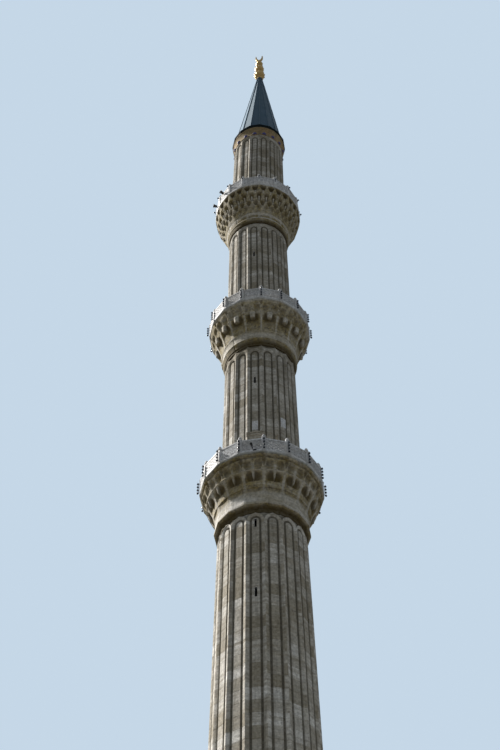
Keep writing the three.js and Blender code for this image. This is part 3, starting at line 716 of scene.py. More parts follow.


# Collars: over the heads of the flutes a recess painted dark as shade, then a cove that swells out to a thin
# roll, and a hollow band above it, which the rain keeps pale, carries the carved stones. Moss grows in the
# cove.
def collar_ring(number, well, recess, cove, roll, shoulder, top, bow, faceted, growth):
    """Shoulder and top are (radius, height). The recess is its radius, foot and top, and so is the roll,
    the cove starts at its own (radius, height), the band above bows in by that much, and growth is the
    moss between its ribs from foot to top."""
    (recess_radius, foot, recess_top), (roll_radius, roll_foot, roll_top) = recess, roll
    under = bowed(cove, (roll_radius - 12, roll_foot - 14), -8)
    edge = [(roll_radius, roll_foot), (roll_radius + 2, (roll_foot + roll_top) / 2), (roll_radius, roll_top),
            (roll_radius - 20, roll_top + 12)]
    over = bowed(shoulder, top, -bow)
    profile = [(well, foot), (recess_radius, foot), (recess_radius + 4, recess_top)] + under + edge + over
    profile.append((well, top[1]))
    mossy = [0.9] * (3 + len(under)) + [0.6, 0.2, 0.0, 0.0] + growth + [0.0]
    mossy = np.repeat(np.array(mossy)[:, None], 10, 1)
    ribs = [0, 1, 8, 9]
    mossy[-len(over) - 1:, ribs] *= 0.3
    # Painted shade: the recess, the cove and the crease over the roll are darkened, and the band a little
    # where moss grows.
    recess_shade = [1.0, 1.0, 1.0, 1.0, 0.95, 0.85, 0.65, 0.4, 0.2, 0.1, 0.05, 0.0, 0.0, 0.5]
    recess_shade += [0.25 * share for share in growth] + [0.0]
    bay = moulding_bay(f"collar_stone_{number}", profile, faceted, columns=8, hollow_shade=np.array(recess_shade)[:, None],
                       moss=mossy)
    settled(ring_of(bay, carved_stone, 50 + number), "carved_stone", f"collar_{number}")


collar_ring(1, 1200, (1550, 30820, 30980), (1603, 31000), (1728, 31110, 31190), (1702, 31230), (1742, 31860),
            26, True, [0.0, 0.0, 0.0, 0.0, 0.2, 0.8, 1.0])
collar_ring(2, 1080, (1443, 40350, 40450), (1475, 40470), (1550, 40720, 40790), (1535, 40830), (1582, 41120),
            12, False, [0.3, 0.0, 0.0, 0.0, 0.0, 0.2, 0.6])
collar_ring(3, 1000, (1374, 49820, 49860), (1390, 49870), (1448, 50080, 50150), (1440, 50190), (1508, 50520),
            6, False, [1.0, 1.0, 0.9, 0.4, 0.0, 0.4, 1.0])


# Corbels: two tiers of limestone under each balcony, carved into arched niches between thin ribs, with
# drops and knobs left hanging over the flutes. Every side of the tower repeats the same carving, and
# moss covers all but the ribs, the drops and the knobs.
def alike(centres, *sizes):
    """The same niche or boss at each of those centres."""
    return [(centre, *sizes) for centre in centres]


def carved_tier(tier, well, rows, niches, bosses, growth, seed, rib=0.0):
    """Rows are height, radius over the arrises and radius over the flutes. A niche is its centre, half
    width, foot, spring and crown, how far it narrows to its foot, and the radius of its back at foot and
    crown. A boss is its centre, half width, foot and top, how far it narrows, and how far it is sunk.
    Centres and widths are in sides of the tower, and growth is rows of height and moss."""
    columns, lines = 44, 38
    rib_fade, ledge, boss_swell, shade_from, shade_reach = 0.02, 20, 40, 12, 80
    places = np.linspace(-0.5, 0.5, columns + 1)
    low, high = rows[0][0], rows[-1][0]
    across, level = np.meshgrid(places, np.linspace(low, high, lines))
    row_heights, over_arris, over_flute = zip(*rows)
    share = 0.5 + 0.5 * np.cos(2 * math.pi * across)
    envelope = np.interp(level, row_heights, over_arris) * (1 - share)
    envelope += np.interp(level, row_heights, over_flute) * share
    radius = envelope.copy()
    for centre, half, foot, spring, crown, narrowing, back_low, back_high in niches:
        below = np.clip((spring - level) / (spring - foot), 0, 1)
        width = half * np.maximum(0.02, 1 - narrowing * below)
        aside = np.abs((across - centre + 0.5) % 1 - 0.5) / width
        above = np.clip((level - spring) / (crown - spring), 0, None)
        arch = np.sqrt(np.clip(1 - aside ** 4 - above ** 1.8, 0, 1)) * (level >= foot)
        back = back_low + (back_high - back_low) * np.clip((level - foot) / (crown - foot), 0, 1)
        radius = np.minimum(radius, envelope - np.clip(envelope - back, 0, None) * arch)
    bare = np.clip((np.abs(across) - 0.5 + rib) / rib_fade, 0, 1) * (envelope - radius < ledge)
    for centre, half, foot, top, narrowing, sunk in bosses:
        rise = (level - foot) / (top - foot)
        width = half * (1 - narrowing * (1 - np.clip(rise, 0, 1))) * np.clip(6 * rise, 0.01, 1) ** 0.5
        aside = np.abs((across - centre + 0.5) % 1 - 0.5) / width
        on_boss = (aside < 1) & (rise >= 0) & (rise <= 1)
        swell = envelope - sunk - boss_swell * (1 - np.sqrt(np.clip(1 - aside ** 2, 0, 1)))
        radius = np.where(on_boss, np.maximum(radius, swell), radius)
        bare = np.where(on_boss, 1, bare)
    turns = places * PITCH
    grid = np.stack([radius * np.sin(turns), -radius * np.cos(turns), level], -1)
    rim = [np.stack([well * np.sin(turns), -well * np.cos(turns), np.full_like(turns, z)], -1)
           for z in (low, high)]
    grid = np.concatenate([rim[:1], grid, rim[1:]])
    # Painted shade: the niches darken with their depth behind the face of the carving.
    deep = np.clip((envelope - radius - shade_from) / shade_reach, 0, 1)
    moss = np.interp(level, *zip(*growth)) * (0.8 + 0.2 * deep) * (1 - 0.85 * bare)
    recess_shade, moss = (np.concatenate([field[:1], field, field[-1:]]) for field in (0.85 * deep, moss))
    bay = bay_mesh(f"corbel_stone_{tier}", grid, hollow_shade=recess_shade, moss=moss)
    settled(ring_of(bay, carved_stone, seed, wear=8, angle=60), "carved_stone", f"corbel_{tier}")


carved_tier("1_lower", 1200,
            [(31860, 1747, 1750), (32000, 1785, 1765), (32110, 1825, 1780), (32130, 1832, 1925),
             (32250, 1884, 1955), (32420, 1985, 2005), (32450, 2007, 2020)],
            niches=[(0, 0.43, 31600, 32170, 32435, 0.1, 1722, 1822)],
            bosses=[(0, 0.08, 32130, 32450, 0.65, 0)],
            growth=[(31860, 1.0), (31960, 1.0), (32250, 1.0), (32420, 0.7), (32450, 0.2)], seed=61, rib=0.08)
carved_tier("1_upper", 1200,
            [(32450, 2020, 2032), (32485, 2035, 2040), (32510, 2020, 1995), (32600, 2052, 2015),
             (32800, 2158, 2115), (33050, 2250, 2235)],
            niches=[*alike((-0.24, 0.24), 0.19, 32470, 32650, 32850, 0.5, 1960, 2065),
                    (0.5, 0.09, 32620, 32800, 32920, 0.8, 2020, 2130),
                    (0, 0.7, 32900, 32950, 33000, 0, 2130, 2160)],
            bosses=[(0, 0.06, 32500, 32700, 0.3, 0)],
            growth=[(32450, 0.2), (32500, 0.8), (32800, 0.9), (32900, 1.0), (33050, 1.0)], seed=62)
carved_tier("2_lower", 1080,
            [(41120, 1592, 1585), (41400, 1636, 1620), (41700, 1720, 1740), (41725, 1728, 1872),
             (42000, 1838, 1915)],
            niches=[(0, 0.43, 41180, 41680, 42100, 0.1, 1570, 1745)],
            bosses=[(0, 0.17, 41725, 42020, 0.2, 0)],
            growth=[(41120, 0.6), (41220, 1.0), (42000, 1.0)], seed=63, rib=0.07)
carved_tier("2_upper", 1080,
            [(42000, 1838, 1912), (42040, 1852, 1915), (42070, 1865, 1850), (42200, 1928, 1905),
             (42400, 2022, 1998), (42635, 2105, 2095)],
            niches=[*alike((-0.25, 0.25), 0.19, 41960, 42250, 42430, 0.4, 1800, 1950),
                    (0.5, 0.06, 42400, 42500, 42590, 0.6, 1980, 2020)],
            bosses=[(0, 0.17, 41900, 42050, 0, 0)],
            growth=[(42000, 1.0), (42560, 1.0), (42635, 0.5)], seed=64)
carved_tier("3_lower", 1000,
            [(50520, 1518, 1510), (50900, 1648, 1630), (51300, 1793, 1778)],
            niches=[*alike((0, 0.5), 0.17, 50650, 50800, 50960, 0.7, 1530, 1590),
                    *alike((-0.25, 0.25), 0.17, 50900, 51080, 51230, 0.6, 1560, 1680),
                    *alike((0, 0.5), 0.13, 51160, 51400, 51500, 0.5, 1650, 1700)],
            bosses=alike((0, 0.5), 0.05, 51030, 51300, 0.5, -10),
            growth=[(50520, 0.9), (50640, 1.0), (51300, 1.0)], seed=65)
carved_tier("3_upper", 1000,
            [(51300, 1793, 1778), (51700, 1960, 1925), (52092, 2050, 2038)],
            niches=[*alike((-0.25, 0.25), 0.20, 51620, 51980, 52060, 1, 1810, 1880),
                    *alike((0, 0.5), 0.15, 51200, 51440, 51640, 0.2, 1690, 1800)],
            bosses=[*alike((-0.25, 0.25), 0.05, 51560, 51760, 0.4, 0),
                    *alike((0, 0.5), 0.05, 51300, 51420, 0, -10)],
            growth=[(51300, 1.0), (52092, 1.0)], seed=66)


# Balcony floors: a ring of marble slabs on the corbels, one to a side, with a rounded lower edge. Moss
# grows under it, and most under the low balcony's.
marble = stone_finish("marble", pale=(0.75, 0.765, 0.79, 1), deep=(0.57, 0.58, 0.60, 1),
                      soot_and_shade=(0.20, 0.20, 0.18, 1), stain=(0.62, 0.60, 0.57, 1), moss=(0.20, 0.19, 0.11, 1),
                      rain=0.25, relief=0.002, roughness=0.6)
rims = (2302, 2164, 2065)
landing_hole = 700
for number, rim in enumerate(rims, 1):
    slab_low, slab_high = heights(f"balcony_{number}_floor")
    profile = [(landing_hole, slab_low), (rim - 40, slab_low), (rim - 14, slab_low + 10),
               (rim, slab_low + 32), (rim, slab_high - 30), (rim, slab_high - 8), (rim - 8, slab_high),
               (landing_hole, slab_high)]
    mossy = np.array([1, 1, 1, 0.9, 0.4, 0, 0, 0])[:, None]
    mossy = mossy if number == 1 else 0.5 * mossy
    slabs = moulding_bay(f"balcony_slabs_{number}", profile, True, moss=mossy)
    settled(ring_of(slabs, marble, 70 + number, wear=2), "marble", f"balcony_{number}_floor")


# Parapets: on each side a marble screen, pierced all over with six-sided holes, stands in a rail below
# and a rail above, between square posts with a cap and a small pointed knob.
pierced, given, out = new_tree("pierced_screen", ("Columns", "Int"), ("Rows", "Int"), ("Spacing", "Float"),
                               ("Thickness", "Float"), ("Material", "Material"))
row_step = reckon(pierced, "MULTIPLY", given["Spacing"], math.sqrt(3) / 2)
wide = reckon(pierced, "MULTIPLY", reckon(pierced, "SUBTRACT", given["Columns"], 1.0), given["Spacing"])
tall = reckon(pierced, "MULTIPLY", reckon(pierced, "SUBTRACT", given["Rows"], 1.0), row_step)
lattice = wire(pierced, "GeometryNodeMeshGrid", {"Size X": wide, "Vertices X": given["Columns"],
                                                 "Size Y": tall, "Vertices Y": given["Rows"]})
odd_row = reckon(pierced, "MODULO", wire(pierced, "GeometryNodeInputIndex"), 2.0)
aside = reckon(pierced, "MULTIPLY", reckon(pierced, "MULTIPLY", odd_row, 0.5), given["Spacing"])
shift = wire(pierced, "ShaderNodeCombineXYZ", {"X": aside})
lattice = shaped(pierced, "SetPosition", lattice, {"Offset": shift})
cells = shaped(pierced, "InstanceOnPoints", lattice, {"Instance": given["Geometry"],
                                                      "Scale": given["Spacing"]})
cells = shaped(pierced, "RealizeInstances", cells)
cells = shaped(pierced, "MergeByDistance", cells, {"Distance": 0.0002})
back = shaped(pierced, "FlipFaces", cells)
front = shaped(pierced, "ExtrudeMesh", cells, {"Offset Scale": given["Thickness"], "Individual": False},
               mode="FACES")
both = pierced.nodes.new("GeometryNodeJoinGeometry")
for side in (back, front):
    fed(pierced, both, {0: side})
closed = shaped(pierced, "MergeByDistance", both.outputs[0], {"Distance": 0.00005})
fed(pierced, out, {0: shaped(pierced, "SetMaterial", closed, {"Material": given["Material"]})})


def hexagon_cell(hole_share):
    """A flat six-sided ring, one across, whose hole is that share of it."""
    corners = [(math.sin(i * math.pi / 3) / math.sqrt(3), math.cos(i * math.pi / 3) / math.sqrt(3))
               for i in range(6)]
    points = [(share * x / MM, share * y / MM, 0) for share in (1, hole_share) for x, y in corners]
    return mesh_piece("screen_cell", points, [(i, 6 + i, 6 + (i + 1) % 6, (i + 1) % 6) for i in range(6)])


def dressed_block(name, low, high, edge):
    """A block between two corners with its edges taken off."""
    piece = block(name, low, high)
    cut = piece.modifiers.new("edges", "BEVEL")
    cut.width, cut.segments, cut.limit_method = edge * MM, 2, "NONE"
    return plain_mesh(piece)


def turned_piece(name, profile, sides=16, finish=None):
    """A piece turned round the Z axis. Its (radius, height) profile runs up from the axis to the axis."""
    rings = profile[1:-1]
    turns = [2 * math.pi * i / sides for i in range(sides)]
    points = [(0, 0, profile[0][1])]
    points += [(radius * math.cos(turn), radius * math.sin(turn), height) for radius, height in rings
               for turn in turns]
    points.append((0, 0, profile[-1][1]))
    last = len(points) - 1
    faces = [(0, 1 + (i + 1) % sides, 1 + i) for i in range(sides)] + between_rings(len(rings), sides, 1)
    faces += [(last - sides + i, last - sides + (i + 1) % sides, last) for i in range(sides)]
    return mesh_piece(name, points, faces, finish)


parapet_set_in, panel_depth, post_half, post_stand_out, post_rise = 20, 90, 75, 15, 45
hole_spacing, hole_share, screen_thickness, screen_stand_out = 85, 0.56, 60, 6
low_rail, top_rail, rail_edge = 95, 80, 14
cap_half, cap_foot = 90, 34
knob_profile = [(0, 0), (42, 0), (36, 18), (66, 62), (70, 96), (48, 150), (15, 200), (0, 212)]
for number, rim in enumerate(rims, 1):
    low, high = heights(f"parapet_{number}")
    rail_top = high - post_rise
    outer = rim - parapet_set_in
    middle = outer - panel_depth / 2
    clear_width = 2 * outer * math.sin(PITCH / 2) - 2 * post_half
    clear_height = rail_top - low - low_rail - top_rail
    row_gap = hole_spacing * math.sqrt(3) / 2
    columns, rows = round(clear_width / hole_spacing) + 1, round(clear_height / row_gap) + 1
    screen = grown(hexagon_cell(hole_share), pierced, Columns=columns, Rows=rows, Spacing=hole_spacing * MM,
                   Thickness=screen_thickness * MM, Material=marble)
    moved(screen, pitch=math.pi / 2)
    moved(screen, x=-hole_spacing / 4, y=screen_thickness - outer * FLAT - screen_stand_out,
          z=low + low_rail + clear_height / 2)
    pieces = [ring_of(screen, marble, 80 + number, wear=0, angle=20)]
    post = dressed_block("post", (-post_half, -post_half, low), (post_half, post_half, high - 30), 8)
    cap = dressed_block("cap", (-cap_half, -cap_half, high - cap_foot), (cap_half, cap_half, high), 10)
    knob = moved(turned_piece("knob", knob_profile), z=high)
    post = moved(joined("post", [post, cap, knob]), PITCH / 2, y=post_half - post_stand_out - outer)
    pieces.append(ring_of(post, marble, 88 + number, wear=0, angle=50))
    for rail_low, rail_high, reach in ((low, low + low_rail, 52), (rail_top - top_rail, rail_top, 60)):
        inside, outside = middle - reach, middle + reach
        profile = [(inside, rail_low), (outside, rail_low), (outside, rail_high - rail_edge),
                   (outside - rail_edge, rail_high), (inside + rail_edge, rail_high),
                   (inside, rail_high - rail_edge)]
        rail = moulding_bay("rail", profile, True, joint=0)
        pieces.append(ring_of(rail, marble, 84 + number, wear=1))
    settled(joined(f"parapet_marble_{number}", pieces), "marble", f"parapet_{number}")


# Lamps: strings of dark bulbs for festival nights hang down outside the corner posts on a thin pipe.
# They are no part of the stone, and stand clear of it on two short pegs.
lamp_glass = plain_finish("lamp_glass", (0.03, 0.035, 0.05), 0.15)
bulbs_each, bulb_gap, first_bulb, bulb_out = (4, 4, 1), 160, 50, 40
pipe_drop, pipe_half, pipe_stand_off, pipe_tail = 120, 9, 30, 60
peg_drop, peg_half, peg_sunk = 30, 6, 8
bulb_profile = [(0, -38), (20, -34), (36, -16), (42, 4), (32, 28), (17, 44), (17, 66), (0, 66)]
for number, (rim, lamps) in enumerate(zip(rims, bulbs_each), 1):
    face = rim - parapet_set_in + post_stand_out
    out = face + pipe_stand_off
    pipe_top = heights(f"parapet_{number}")[1] - pipe_drop
    last_bulb = pipe_top - bulb_gap * max(lamps - 1, 1)
    parts = [dressed_block("pipe", (-pipe_half, -out - pipe_half, last_bulb - pipe_tail),
                           (pipe_half, pipe_half - out, pipe_top), 3)]
    for level in (pipe_top - peg_drop, last_bulb):
        parts.append(dressed_block("peg", (-peg_half, -out, level - peg_half),
                                   (peg_half, peg_sunk - face, level + peg_half), 2))
    for i in range(lamps):
        bulb = turned_piece("bulb", bulb_profile, 8)
        parts.append(moved(bulb, y=-out - bulb_out, z=pipe_top - first_bulb - bulb_gap * i))
    string = moved(joined("lamp_string", parts), PITCH / 2)
    strings = ring_of(string, lamp_glass, 95 + number, wear=0, angle=50)
    settled(strings, "lamp_glass").name = f"lamp_strings_{number}"


# Floodlight: a small black metal lamp on the front of the low parapet. Its bracket, and a short arm
# beside it, are seated in the marble.
black_paint = plain_finish("black_paint", (0.012, 0.012, 0.014), 0.45)
lamp_body = [(0, 0), (30, 0), (42, 18), (42, 150), (50, 172), (50, 200), (40, 200), (36, 186), (0, 186)]
front_face = (rims[0] - parapet_set_in) * FLAT
flood_x, flood_z, flood_out, flood_tip, flood_sunk = 25, 33345, 110, math.radians(115), 6
fixed = flood_sunk - front_face
flood = moved(turned_piece("flood", lamp_body, 20), x=flood_x, y=-front_face - flood_out, z=flood_z,
              pitch=flood_tip)
bracket = dressed_block("bracket", (flood_x - 14, -front_face - 120, flood_z - 40),
                        (flood_x + 14, fixed, flood_z - 12), 3)
arm = dressed_block("arm", (flood_x + 30, -front_face - 40, flood_z - 150),
                    (flood_x + 150, fixed, flood_z - 110), 4)
floodlight = smoothed(joined("floodlight", [flood, bracket, arm]))
settled(floodlight, "black_paint").data.materials.append(black_paint)


# Balcony doors: a plank door in a limestone frame as wide as one flute, with a small moulded head. A strip
# of plain stone over the head is the foot of the flute above. Two slabs of pale marble lie in flutes of
# the second storey, one over its door and one two flutes to the right.
timber, tree, place, shader = new_finish("timber")
grain = clouds(tree, stretched(tree, place, 60.0, 3.0), 1.0, 6.0)
weather = clouds(tree, place, 4.0)
wood = mixed(tree, remapped(tree, grain, 0.35, 0.68), (0.045, 0.03, 0.02, 1), (0.17, 0.115, 0.07, 1))
wood = mixed(tree, remapped(tree, weather, 0.45, 0.75, 0.0, 0.5), wood, (0.16, 0.15, 0.13, 1))
fed(tree, shader, {"Base Color": wood, "Roughness": 0.7, "Normal": bumped(tree, grain, 0.001, 0.6)})


def plank_door(name, half, low, high, face, planks):
    """Upright planks behind studded iron straps, and a ring handle. Its face looks to -Y."""
    wide = 2 * half / planks
    strap_in, strap_half, ring_radius, ring_links = 12, 24, 46, 12
    stud_profile = [(0, -6), (11, -4), (11, 2), (6, 8), (0, 9)]
    link_profile = [(0, -16), (7, -14), (7, 14), (0, 16)]
    wooden = [dressed_block("plank", (-half + i * wide + 1, face + 12, low),
                            (-half + (i + 1) * wide - 1, face + 50, high), 3) for i in range(planks)]
    iron = []
    for share in (0.16, 0.5, 0.84):
        level = low + share * (high - low)
        iron.append(dressed_block("strap", (-half + strap_in, face + 6, level - strap_half),
                                  (half - strap_in, face + 14, level + strap_half), 3))
        for i in range(2 * planks):
            stud = turned_piece("stud", stud_profile, 8)
            iron.append(moved(stud, x=-half + (i + 0.5) * wide / 2, y=face + 6, z=level, pitch=math.pi / 2))
    ring_x, ring_level = 0.55 * half, low + 0.48 * (high - low)
    for i in range(ring_links):
        turn = 2 * math.pi * i / ring_links
        link = turned_piece("link", link_profile, 6)
        link.data.transform(Matrix.Rotation(-turn, 4, "Y"))
        iron.append(moved(link, x=ring_x + ring_radius * math.cos(turn), y=face - 2,
                          z=ring_level + ring_radius * math.sin(turn)))
    for pieces, finish in ((wooden, timber), (iron, black_paint)):
        for piece in pieces:
            piece.data.materials.append(finish)
    return smoothed(joined(name, wooden + iron), 30)


def toned(piece, tone):
    """The piece as one block of that tone, from 0 for the deepest to 1 for the palest."""
    return marked(piece, "tone", [tone] * len(piece.data.polygons), domain="FACE")


def cast_piece(name, outlines, finish=None):
    """A piece from outlines with equally many points, one behind the other, closed at both ends. Seen
    from the first, they run anticlockwise."""
    count = len(outlines[0])
    points = [point for outline in outlines for point in outline]
    faces = [tuple(range(count)), tuple(reversed(range(len(points) - count, len(points))))]
    faces += [face[::-1] for face in between_rings(len(outlines), count)]
    return mesh_piece(name, points, faces, finish)


head_overhang, head_reach, fascia, groove, over_head = 35, 60, 70, 45, 60
door_arch_rise, arch_steps, frame_proud, frame_depth = 160, 12, 25, 220
sill_tall, leaf_gap, leaf_inset, slab_half, slab_tall = 40, 1, 90, 112, 500
for number, storey in enumerate(storeys[1:], 1):
    low = storey["low"]
    face = -storey["foot"] * FLAT
    half, outer = door_width / 2, door_width / 2 + door_jamb
    top = low + storey["door_top"]
    front, back = face - frame_proud, face - frame_proud + frame_depth
    spring = low + door_height - door_arch_rise
    blocks = [dressed_block("jamb", (left, front, low), (left + door_jamb, back, spring), 8)
              for left in (-outer, half)]
    bends = [math.pi * i / arch_steps for i in range(arch_steps + 1)]
    arch = [(-half * math.cos(bend), spring + door_arch_rise * math.sin(bend)) for bend in bends]
    loop = [(-outer, spring)] + arch + [(outer, spring), (outer, top), (-outer, top)]
    blocks.append(cast_piece("lintel", [[(x, y, z) for x, z in loop] for y in (front, back)]))
    for fascia_top in (top, top - fascia - groove):
        overhang = outer + head_overhang
        blocks.append(dressed_block("fascia", (-overhang, face - head_reach, fascia_top - fascia),
                                    (overhang, face + 20, fascia_top), 6))
    blocks.append(dressed_block("sill", (-half, front + 4, low), (half, back, low + sill_tall), 6))
    blocks.append(dressed_block("over", (-outer, face + 2, top), (outer, face + 120, top + over_head), 6))
    for block_piece in blocks:
        toned(block_piece, 0.35).data.materials.append(limestone)
    if number == 1:
        for side, slab_foot in ((0, top + 190), (2, top + 590)):
            slab = dressed_block("panel", (-slab_half, face + 36, slab_foot),
                                 (slab_half, face + 70, slab_foot + slab_tall), 6)
            moved(toned(slab, 0.5), side * PITCH).data.materials.append(marble)
            blocks.append(slab)
    surround = joined(f"door_surround_{number}", blocks)
    leaf = plank_door(f"plank_door_{number}", half - leaf_gap, low + sill_tall + leaf_gap, low + door_height,
                      face + leaf_inset, 4)
    if low == lean_foot:
        leant(surround)
        leant(leaf)
    settled(surround, "limestone", f"balcony_door_frame_{number}")
    settled(leaf, "timber", f"balcony_door_{number}")


# Ground door: a heavy plank door set back in the doorway of the square foot, made as the balcony doors
# are, with wider planks and the same iron.
door_low, door_high = heights("ground_door")
leaf_face, leaf_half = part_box("ground_door")[0].y / MM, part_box("ground_door")[1].x / MM
leaf = plank_door("ground_plank_door", leaf_half, door_low, door_high, leaf_face, 7)
settled(leaf, "timber", "ground_door")


# Eave: a frieze and cove of ochre painted plaster swell out under the roof, and a round boss of blue glaze
# is set in the frieze over the head of each flute.
ochre_plaster = stone_finish("ochre_plaster", pale=(0.37, 0.30, 0.175, 1), deep=(0.24, 0.19, 0.105, 1),
                             soot_and_shade=(0.11, 0.095, 0.065, 1), stain=(0.40, 0.23, 0.11, 1),
                             moss=(0.25, 0.22, 0.10, 1), rain=0.6, relief=0.002)
eave_low, eave_high = heights("eave_cornice")
eave_foot, eave_reach, top_well = 1278, 1360, 950
eave_profile = [(top_well, eave_low), (eave_foot, eave_low), (eave_foot + 12, eave_low + 14),
                (eave_foot + 2, eave_low + 30)]
eave_profile += bowed((eave_foot + 2, eave_low + 240), (eave_reach - 12, eave_high - 60), -14)
eave_profile += [(eave_reach, eave_high - 50), (eave_reach, eave_high), (top_well, eave_high)]
frieze = moulding_bay("eave_plaster", eave_profile, False, joint=2)
settled(leant(ring_of(frieze, ochre_plaster, 100, wear=4)), "ochre_plaster", "eave_cornice")

glazed_tile = plain_finish("glazed_tile", (0.07, 0.07, 0.24), 0.6)
boss_level, boss_radius, boss_rise, boss_rim, boss_tip = 58672, 108, 75, 14, math.radians(105)
boss_profile = [(0, -20), (boss_radius, -20), (boss_radius, 6), (boss_radius - 16, boss_rim)]
boss_profile += [((boss_radius - 20) * math.cos(math.pi * i / 10),
                  boss_rim + (boss_rise - boss_rim) * math.sin(math.pi * i / 10)) for i in range(5)]
boss_profile.append((0, boss_rise))
boss = moved(turned_piece("boss", boss_profile), y=-eave_foot, z=boss_level, pitch=boss_tip)
settled(leant(ring_of(boss, glazed_tile, 101, wear=0)), "glazed_tile").name = "glazed_bosses"


# Roof: lead sheets on boarding, dressed over a rolled seam at each corner, with a lap between one sheet and
# the next. It stands a little inside the eave, whose drip is black with age.
lead, tree, place, shader = new_finish("lead_sheet")
patches = clouds(tree, place, 5.0)
streaks = clouds(tree, stretched(tree, place, 22.0, 1.6), 1.0, 4.0)
sheet = wire(tree, "ShaderNodeAttribute", out="Fac", attribute_name="tone")
colour = mixed(tree, sheet, (0.002, 0.040, 0.085, 1), (0.01, 0.065, 0.12, 1))
colour = mixed(tree, remapped(tree, patches, 0.45, 0.75, 0.0, 0.5), colour, (0.02, 0.08, 0.13, 1))
colour = mixed(tree, remapped(tree, streaks, 0.5, 0.75, 0.0, 0.4), colour, (0.07, 0.11, 0.14, 1))
fed(tree, shader, {"Base Color": colour, "Roughness": remapped(tree, patches, 0.3, 0.7, 0.56, 0.7),
                   "Metallic": 0.85, "Sheen Weight": 0.5, "Sheen Roughness": 0.35,
                   "Sheen Tint": (0.80, 0.92, 1.0, 1), "Normal": bumped(tree, patches, 0.006, 0.5)})

cone_low, cone_high = heights("cone")
eave_radius, drip_foot, drip_top, drip_lap = 1406, 60, 59480, 40
cone_foot, cone_radius, tip_radius, tip_wall, tip_deep, boards = 59580, 1258, 132, 60, 200, 170
seam_half, seam_proud, lap, sheets = 16, 26, 7, 7


def cone_side():
    """One side of the roof: its lead from seam to seam, and the boards behind."""
    levels = [(cone_foot, 0)]
    for i in range(1, sheets):
        seam = cone_foot + (cone_high - cone_foot) * (i / sheets) ** 0.92
        levels += [(seam - 4, lap), (seam + 4, 0)]
    levels.append((cone_high, 0))
    rows, course = [(eave_radius - 60, drip_top - drip_lap), (eave_radius - 14, drip_top + 6)], [0, 0]
    for step, (height, dip) in enumerate(levels):
        share = (height - cone_foot) / (cone_high - cone_foot)
        rows.append((cone_radius + share * (tip_radius - cone_radius) - 6 + dip, height))
        course.append((step + 1) // 2)
    grid = []
    for radius, height in rows:
        seam = min(seam_half / (radius * 2 * math.sin(PITCH / 2)), 0.2)
        half_line = [(0.17, 0), (0.5 - seam, 0), (0.5 - 0.7 * seam, seam_proud - 6), (0.5, seam_proud)]
        whole_line = [(-place, proud) for place, proud in reversed(half_line)] + half_line
        rolled = height > cone_foot - drip_lap
        grid.append([round_axis((radius + proud * rolled) * FLAT / math.cos(place * PITCH), place * PITCH,
                                height) for place, proud in whole_line])
    for radius, height in ((tip_radius - tip_wall, cone_high), (tip_radius - tip_wall, cone_high - tip_deep),
                           (cone_radius - boards, cone_foot), (cone_radius - boards, drip_top - drip_lap)):
        grid.append([round_axis(radius, place * PITCH, height)
                     for place in (-0.5, -0.48, -0.46, -0.17, 0.17, 0.46, 0.48, 0.5)])
    return bay_mesh("roof_side", np.array(grid), course=np.array(course + [0] * 4)[:, None])


black_lead = plain_finish("black_lead", (0.012, 0.018, 0.02), 0.9, gloss=0.05)
drip_inside = cone_radius - boards
drip = [(drip_inside, cone_low), (eave_radius - 34, cone_low), (eave_radius, cone_low + drip_foot),
        (eave_radius, drip_top - 14), (eave_radius - 12, drip_top), (drip_inside, drip_top)]
roof = [ring_of(cone_side(), lead, 110, wear=2, angle=25),
        ring_of(moulding_bay("drip", drip, True, joint=0), black_lead, 111, wear=1)]
settled(leant(joined("lead_roof", roof)), "lead_sheet", "cone")


# Finial: three hollow copper bulbs on a stem with a horned tip, gilt all over and rubbed in small patches.
# It stands upright on the tip of the leaning roof.
gilt, tree, place, shader = new_finish("gilt_copper")
rubbed = clouds(tree, place, 30.0)
colour = mixed(tree, remapped(tree, rubbed, 0.45, 0.7), (0.72, 0.50, 0.22, 1), (0.42, 0.29, 0.13, 1))
fed(tree, shader, {"Base Color": colour, "Roughness": remapped(tree, rubbed, 0.3, 0.7, 0.36, 0.52),
                   "Metallic": 1.0})


def gilt_bulb(name, foot, radius, tall, stem, lobes):
    """A bulb between two collars on the stem, beaten into shallow lobes."""
    collar, steps = 0.12 * tall, 12
    profile = [(0, foot - 2), (stem * 1.7, foot), (stem * 1.9, foot + 0.3 * collar),
               (stem * 1.2, foot + 0.7 * collar), (stem, foot + collar)]
    profile += [(max(stem, radius * math.sin(math.pi * i / steps) ** 0.8),
                 foot + collar + (tall - 2 * collar) * i / steps) for i in range(1, steps)]
    profile += [(stem, foot + tall - collar), (stem * 1.5, foot + tall - 0.5 * collar),
                (stem * 1.3, foot + tall), (0, foot + tall + 2)]
    piece = turned_piece(name, profile, 6 * lobes, gilt)
    for vertex in piece.data.vertices:
        reach = math.hypot(vertex.co.x, vertex.co.y) / MM
        swell = 1 + 0.07 * math.cos(lobes * math.atan2(vertex.co.y, vertex.co.x)) * min(1.0, reach / radius)
        vertex.co.x *= swell
        vertex.co.y *= swell
    return smoothed(piece, 60)


finial_foot, finial_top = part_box("finial_lower_bulb")[0].z / MM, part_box("finial_crescent")[1].z / MM
bulb_lobes = 12
foot = finial_foot
gilt_pieces = []
for number, (radius, tall, stem) in enumerate(((310, 900, 76), (265, 800, 62), (205, 640, 50)), 1):
    gilt_pieces.append(gilt_bulb(f"bulb_{number}", foot, radius, tall, stem, bulb_lobes))
    foot += tall
finial_shift = lean * (finial_foot - lean_foot)
settled(moved(joined("gilt_bulbs", gilt_pieces), x=finial_shift), "gilt_copper", "finial_lower_bulb",
        "finial_middle_bulb", "finial_upper_bulb")

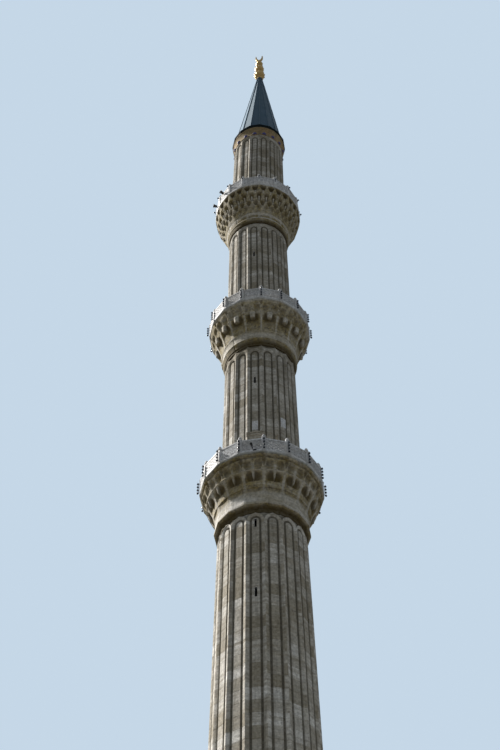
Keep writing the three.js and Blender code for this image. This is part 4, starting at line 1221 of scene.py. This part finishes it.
horn_rise = finial_top - foot
horn_span, horn_belly, horn_hollow, horn_thick = 225, 225, 230, 70
neck_foot, neck_half, neck_rise, tip_wide, tip_drop, horn_middle = 40, 52, 90, 55, 60, 150
bends = [math.pi / 2 * i / 8 for i in range(9)]
outline = [(-neck_foot, 0), (neck_foot, 0), (neck_half, neck_rise)]
outline += [(neck_half + (horn_belly - neck_half) * math.sin(bend),
             neck_rise + (0.55 * horn_rise - neck_rise) * (1 - math.cos(bend))) for bend in bends[1:]]
outline += [(horn_span, 0.8 * horn_rise), (horn_span - 25, horn_rise)]
inner_tip = horn_rise - tip_drop
outline += [((horn_span - tip_wide) * math.cos(bend), inner_tip - (inner_tip - horn_hollow) * math.sin(bend))
            for bend in bends[:-1]]
whole = outline + [(0, horn_hollow)] + [(-x, z) for x, z in reversed(outline[2:])]
layers = ((-horn_thick / 2, 0.94), (-horn_thick / 3, 1), (horn_thick / 3, 1), (horn_thick / 2, 0.94))
outlines = [[(x * shrink, y, foot + horn_middle + (z - horn_middle) * shrink) for x, z in whole]
            for y, shrink in layers]
horns = moved(cast_piece("gilt_horns", outlines, gilt), x=finial_shift)
settled(smoothed(horns, 40), "gilt_copper", "finial_crescent")


# Loudspeakers: two black painted metal horns outside the top parapet, each in a yoke on a bar that is
# seated on a panel.
bell = [(0, -20), (46, -18), (58, 0), (60, 40), (62, 64), (67, 90), (76, 122), (88, 152), (92, 160),
        (92, 165), (86, 164), (72, 142), (54, 114), (34, 98), (0, 92)]
speaker_rise, speaker_out, bar_sunk, cheek_place = 520, 62, 60, 57
panel_face = (rims[2] - parapet_set_in) * FLAT
level, out = storeys[3]["low"] + speaker_rise, panel_face + speaker_out
for number, side in ((1, -2), (2, -3)):
    horn = moved(turned_piece("horn", bell, 24), y=-out, z=level, pitch=math.pi / 2)
    bar = dressed_block("bar", (-14, -out, level - 70), (14, bar_sunk - panel_face, level - 42), 4)
    yoke = dressed_block("yoke", (-62, -out - 44, level - 64), (62, -out - 24, level - 50), 3)
    cheeks = [dressed_block("cheek", (x - 5, -out - 46, level - 60), (x + 5, -out - 22, level + 12), 2)
              for x in (-cheek_place, cheek_place)]
    speaker = moved(joined(f"horn_speaker_{number}", [horn, bar, yoke] + cheeks), side * PITCH)
    speaker.data.materials.append(black_paint)
    settled(smoothed(speaker, 40), "black_paint", f"loudspeaker_{number}")
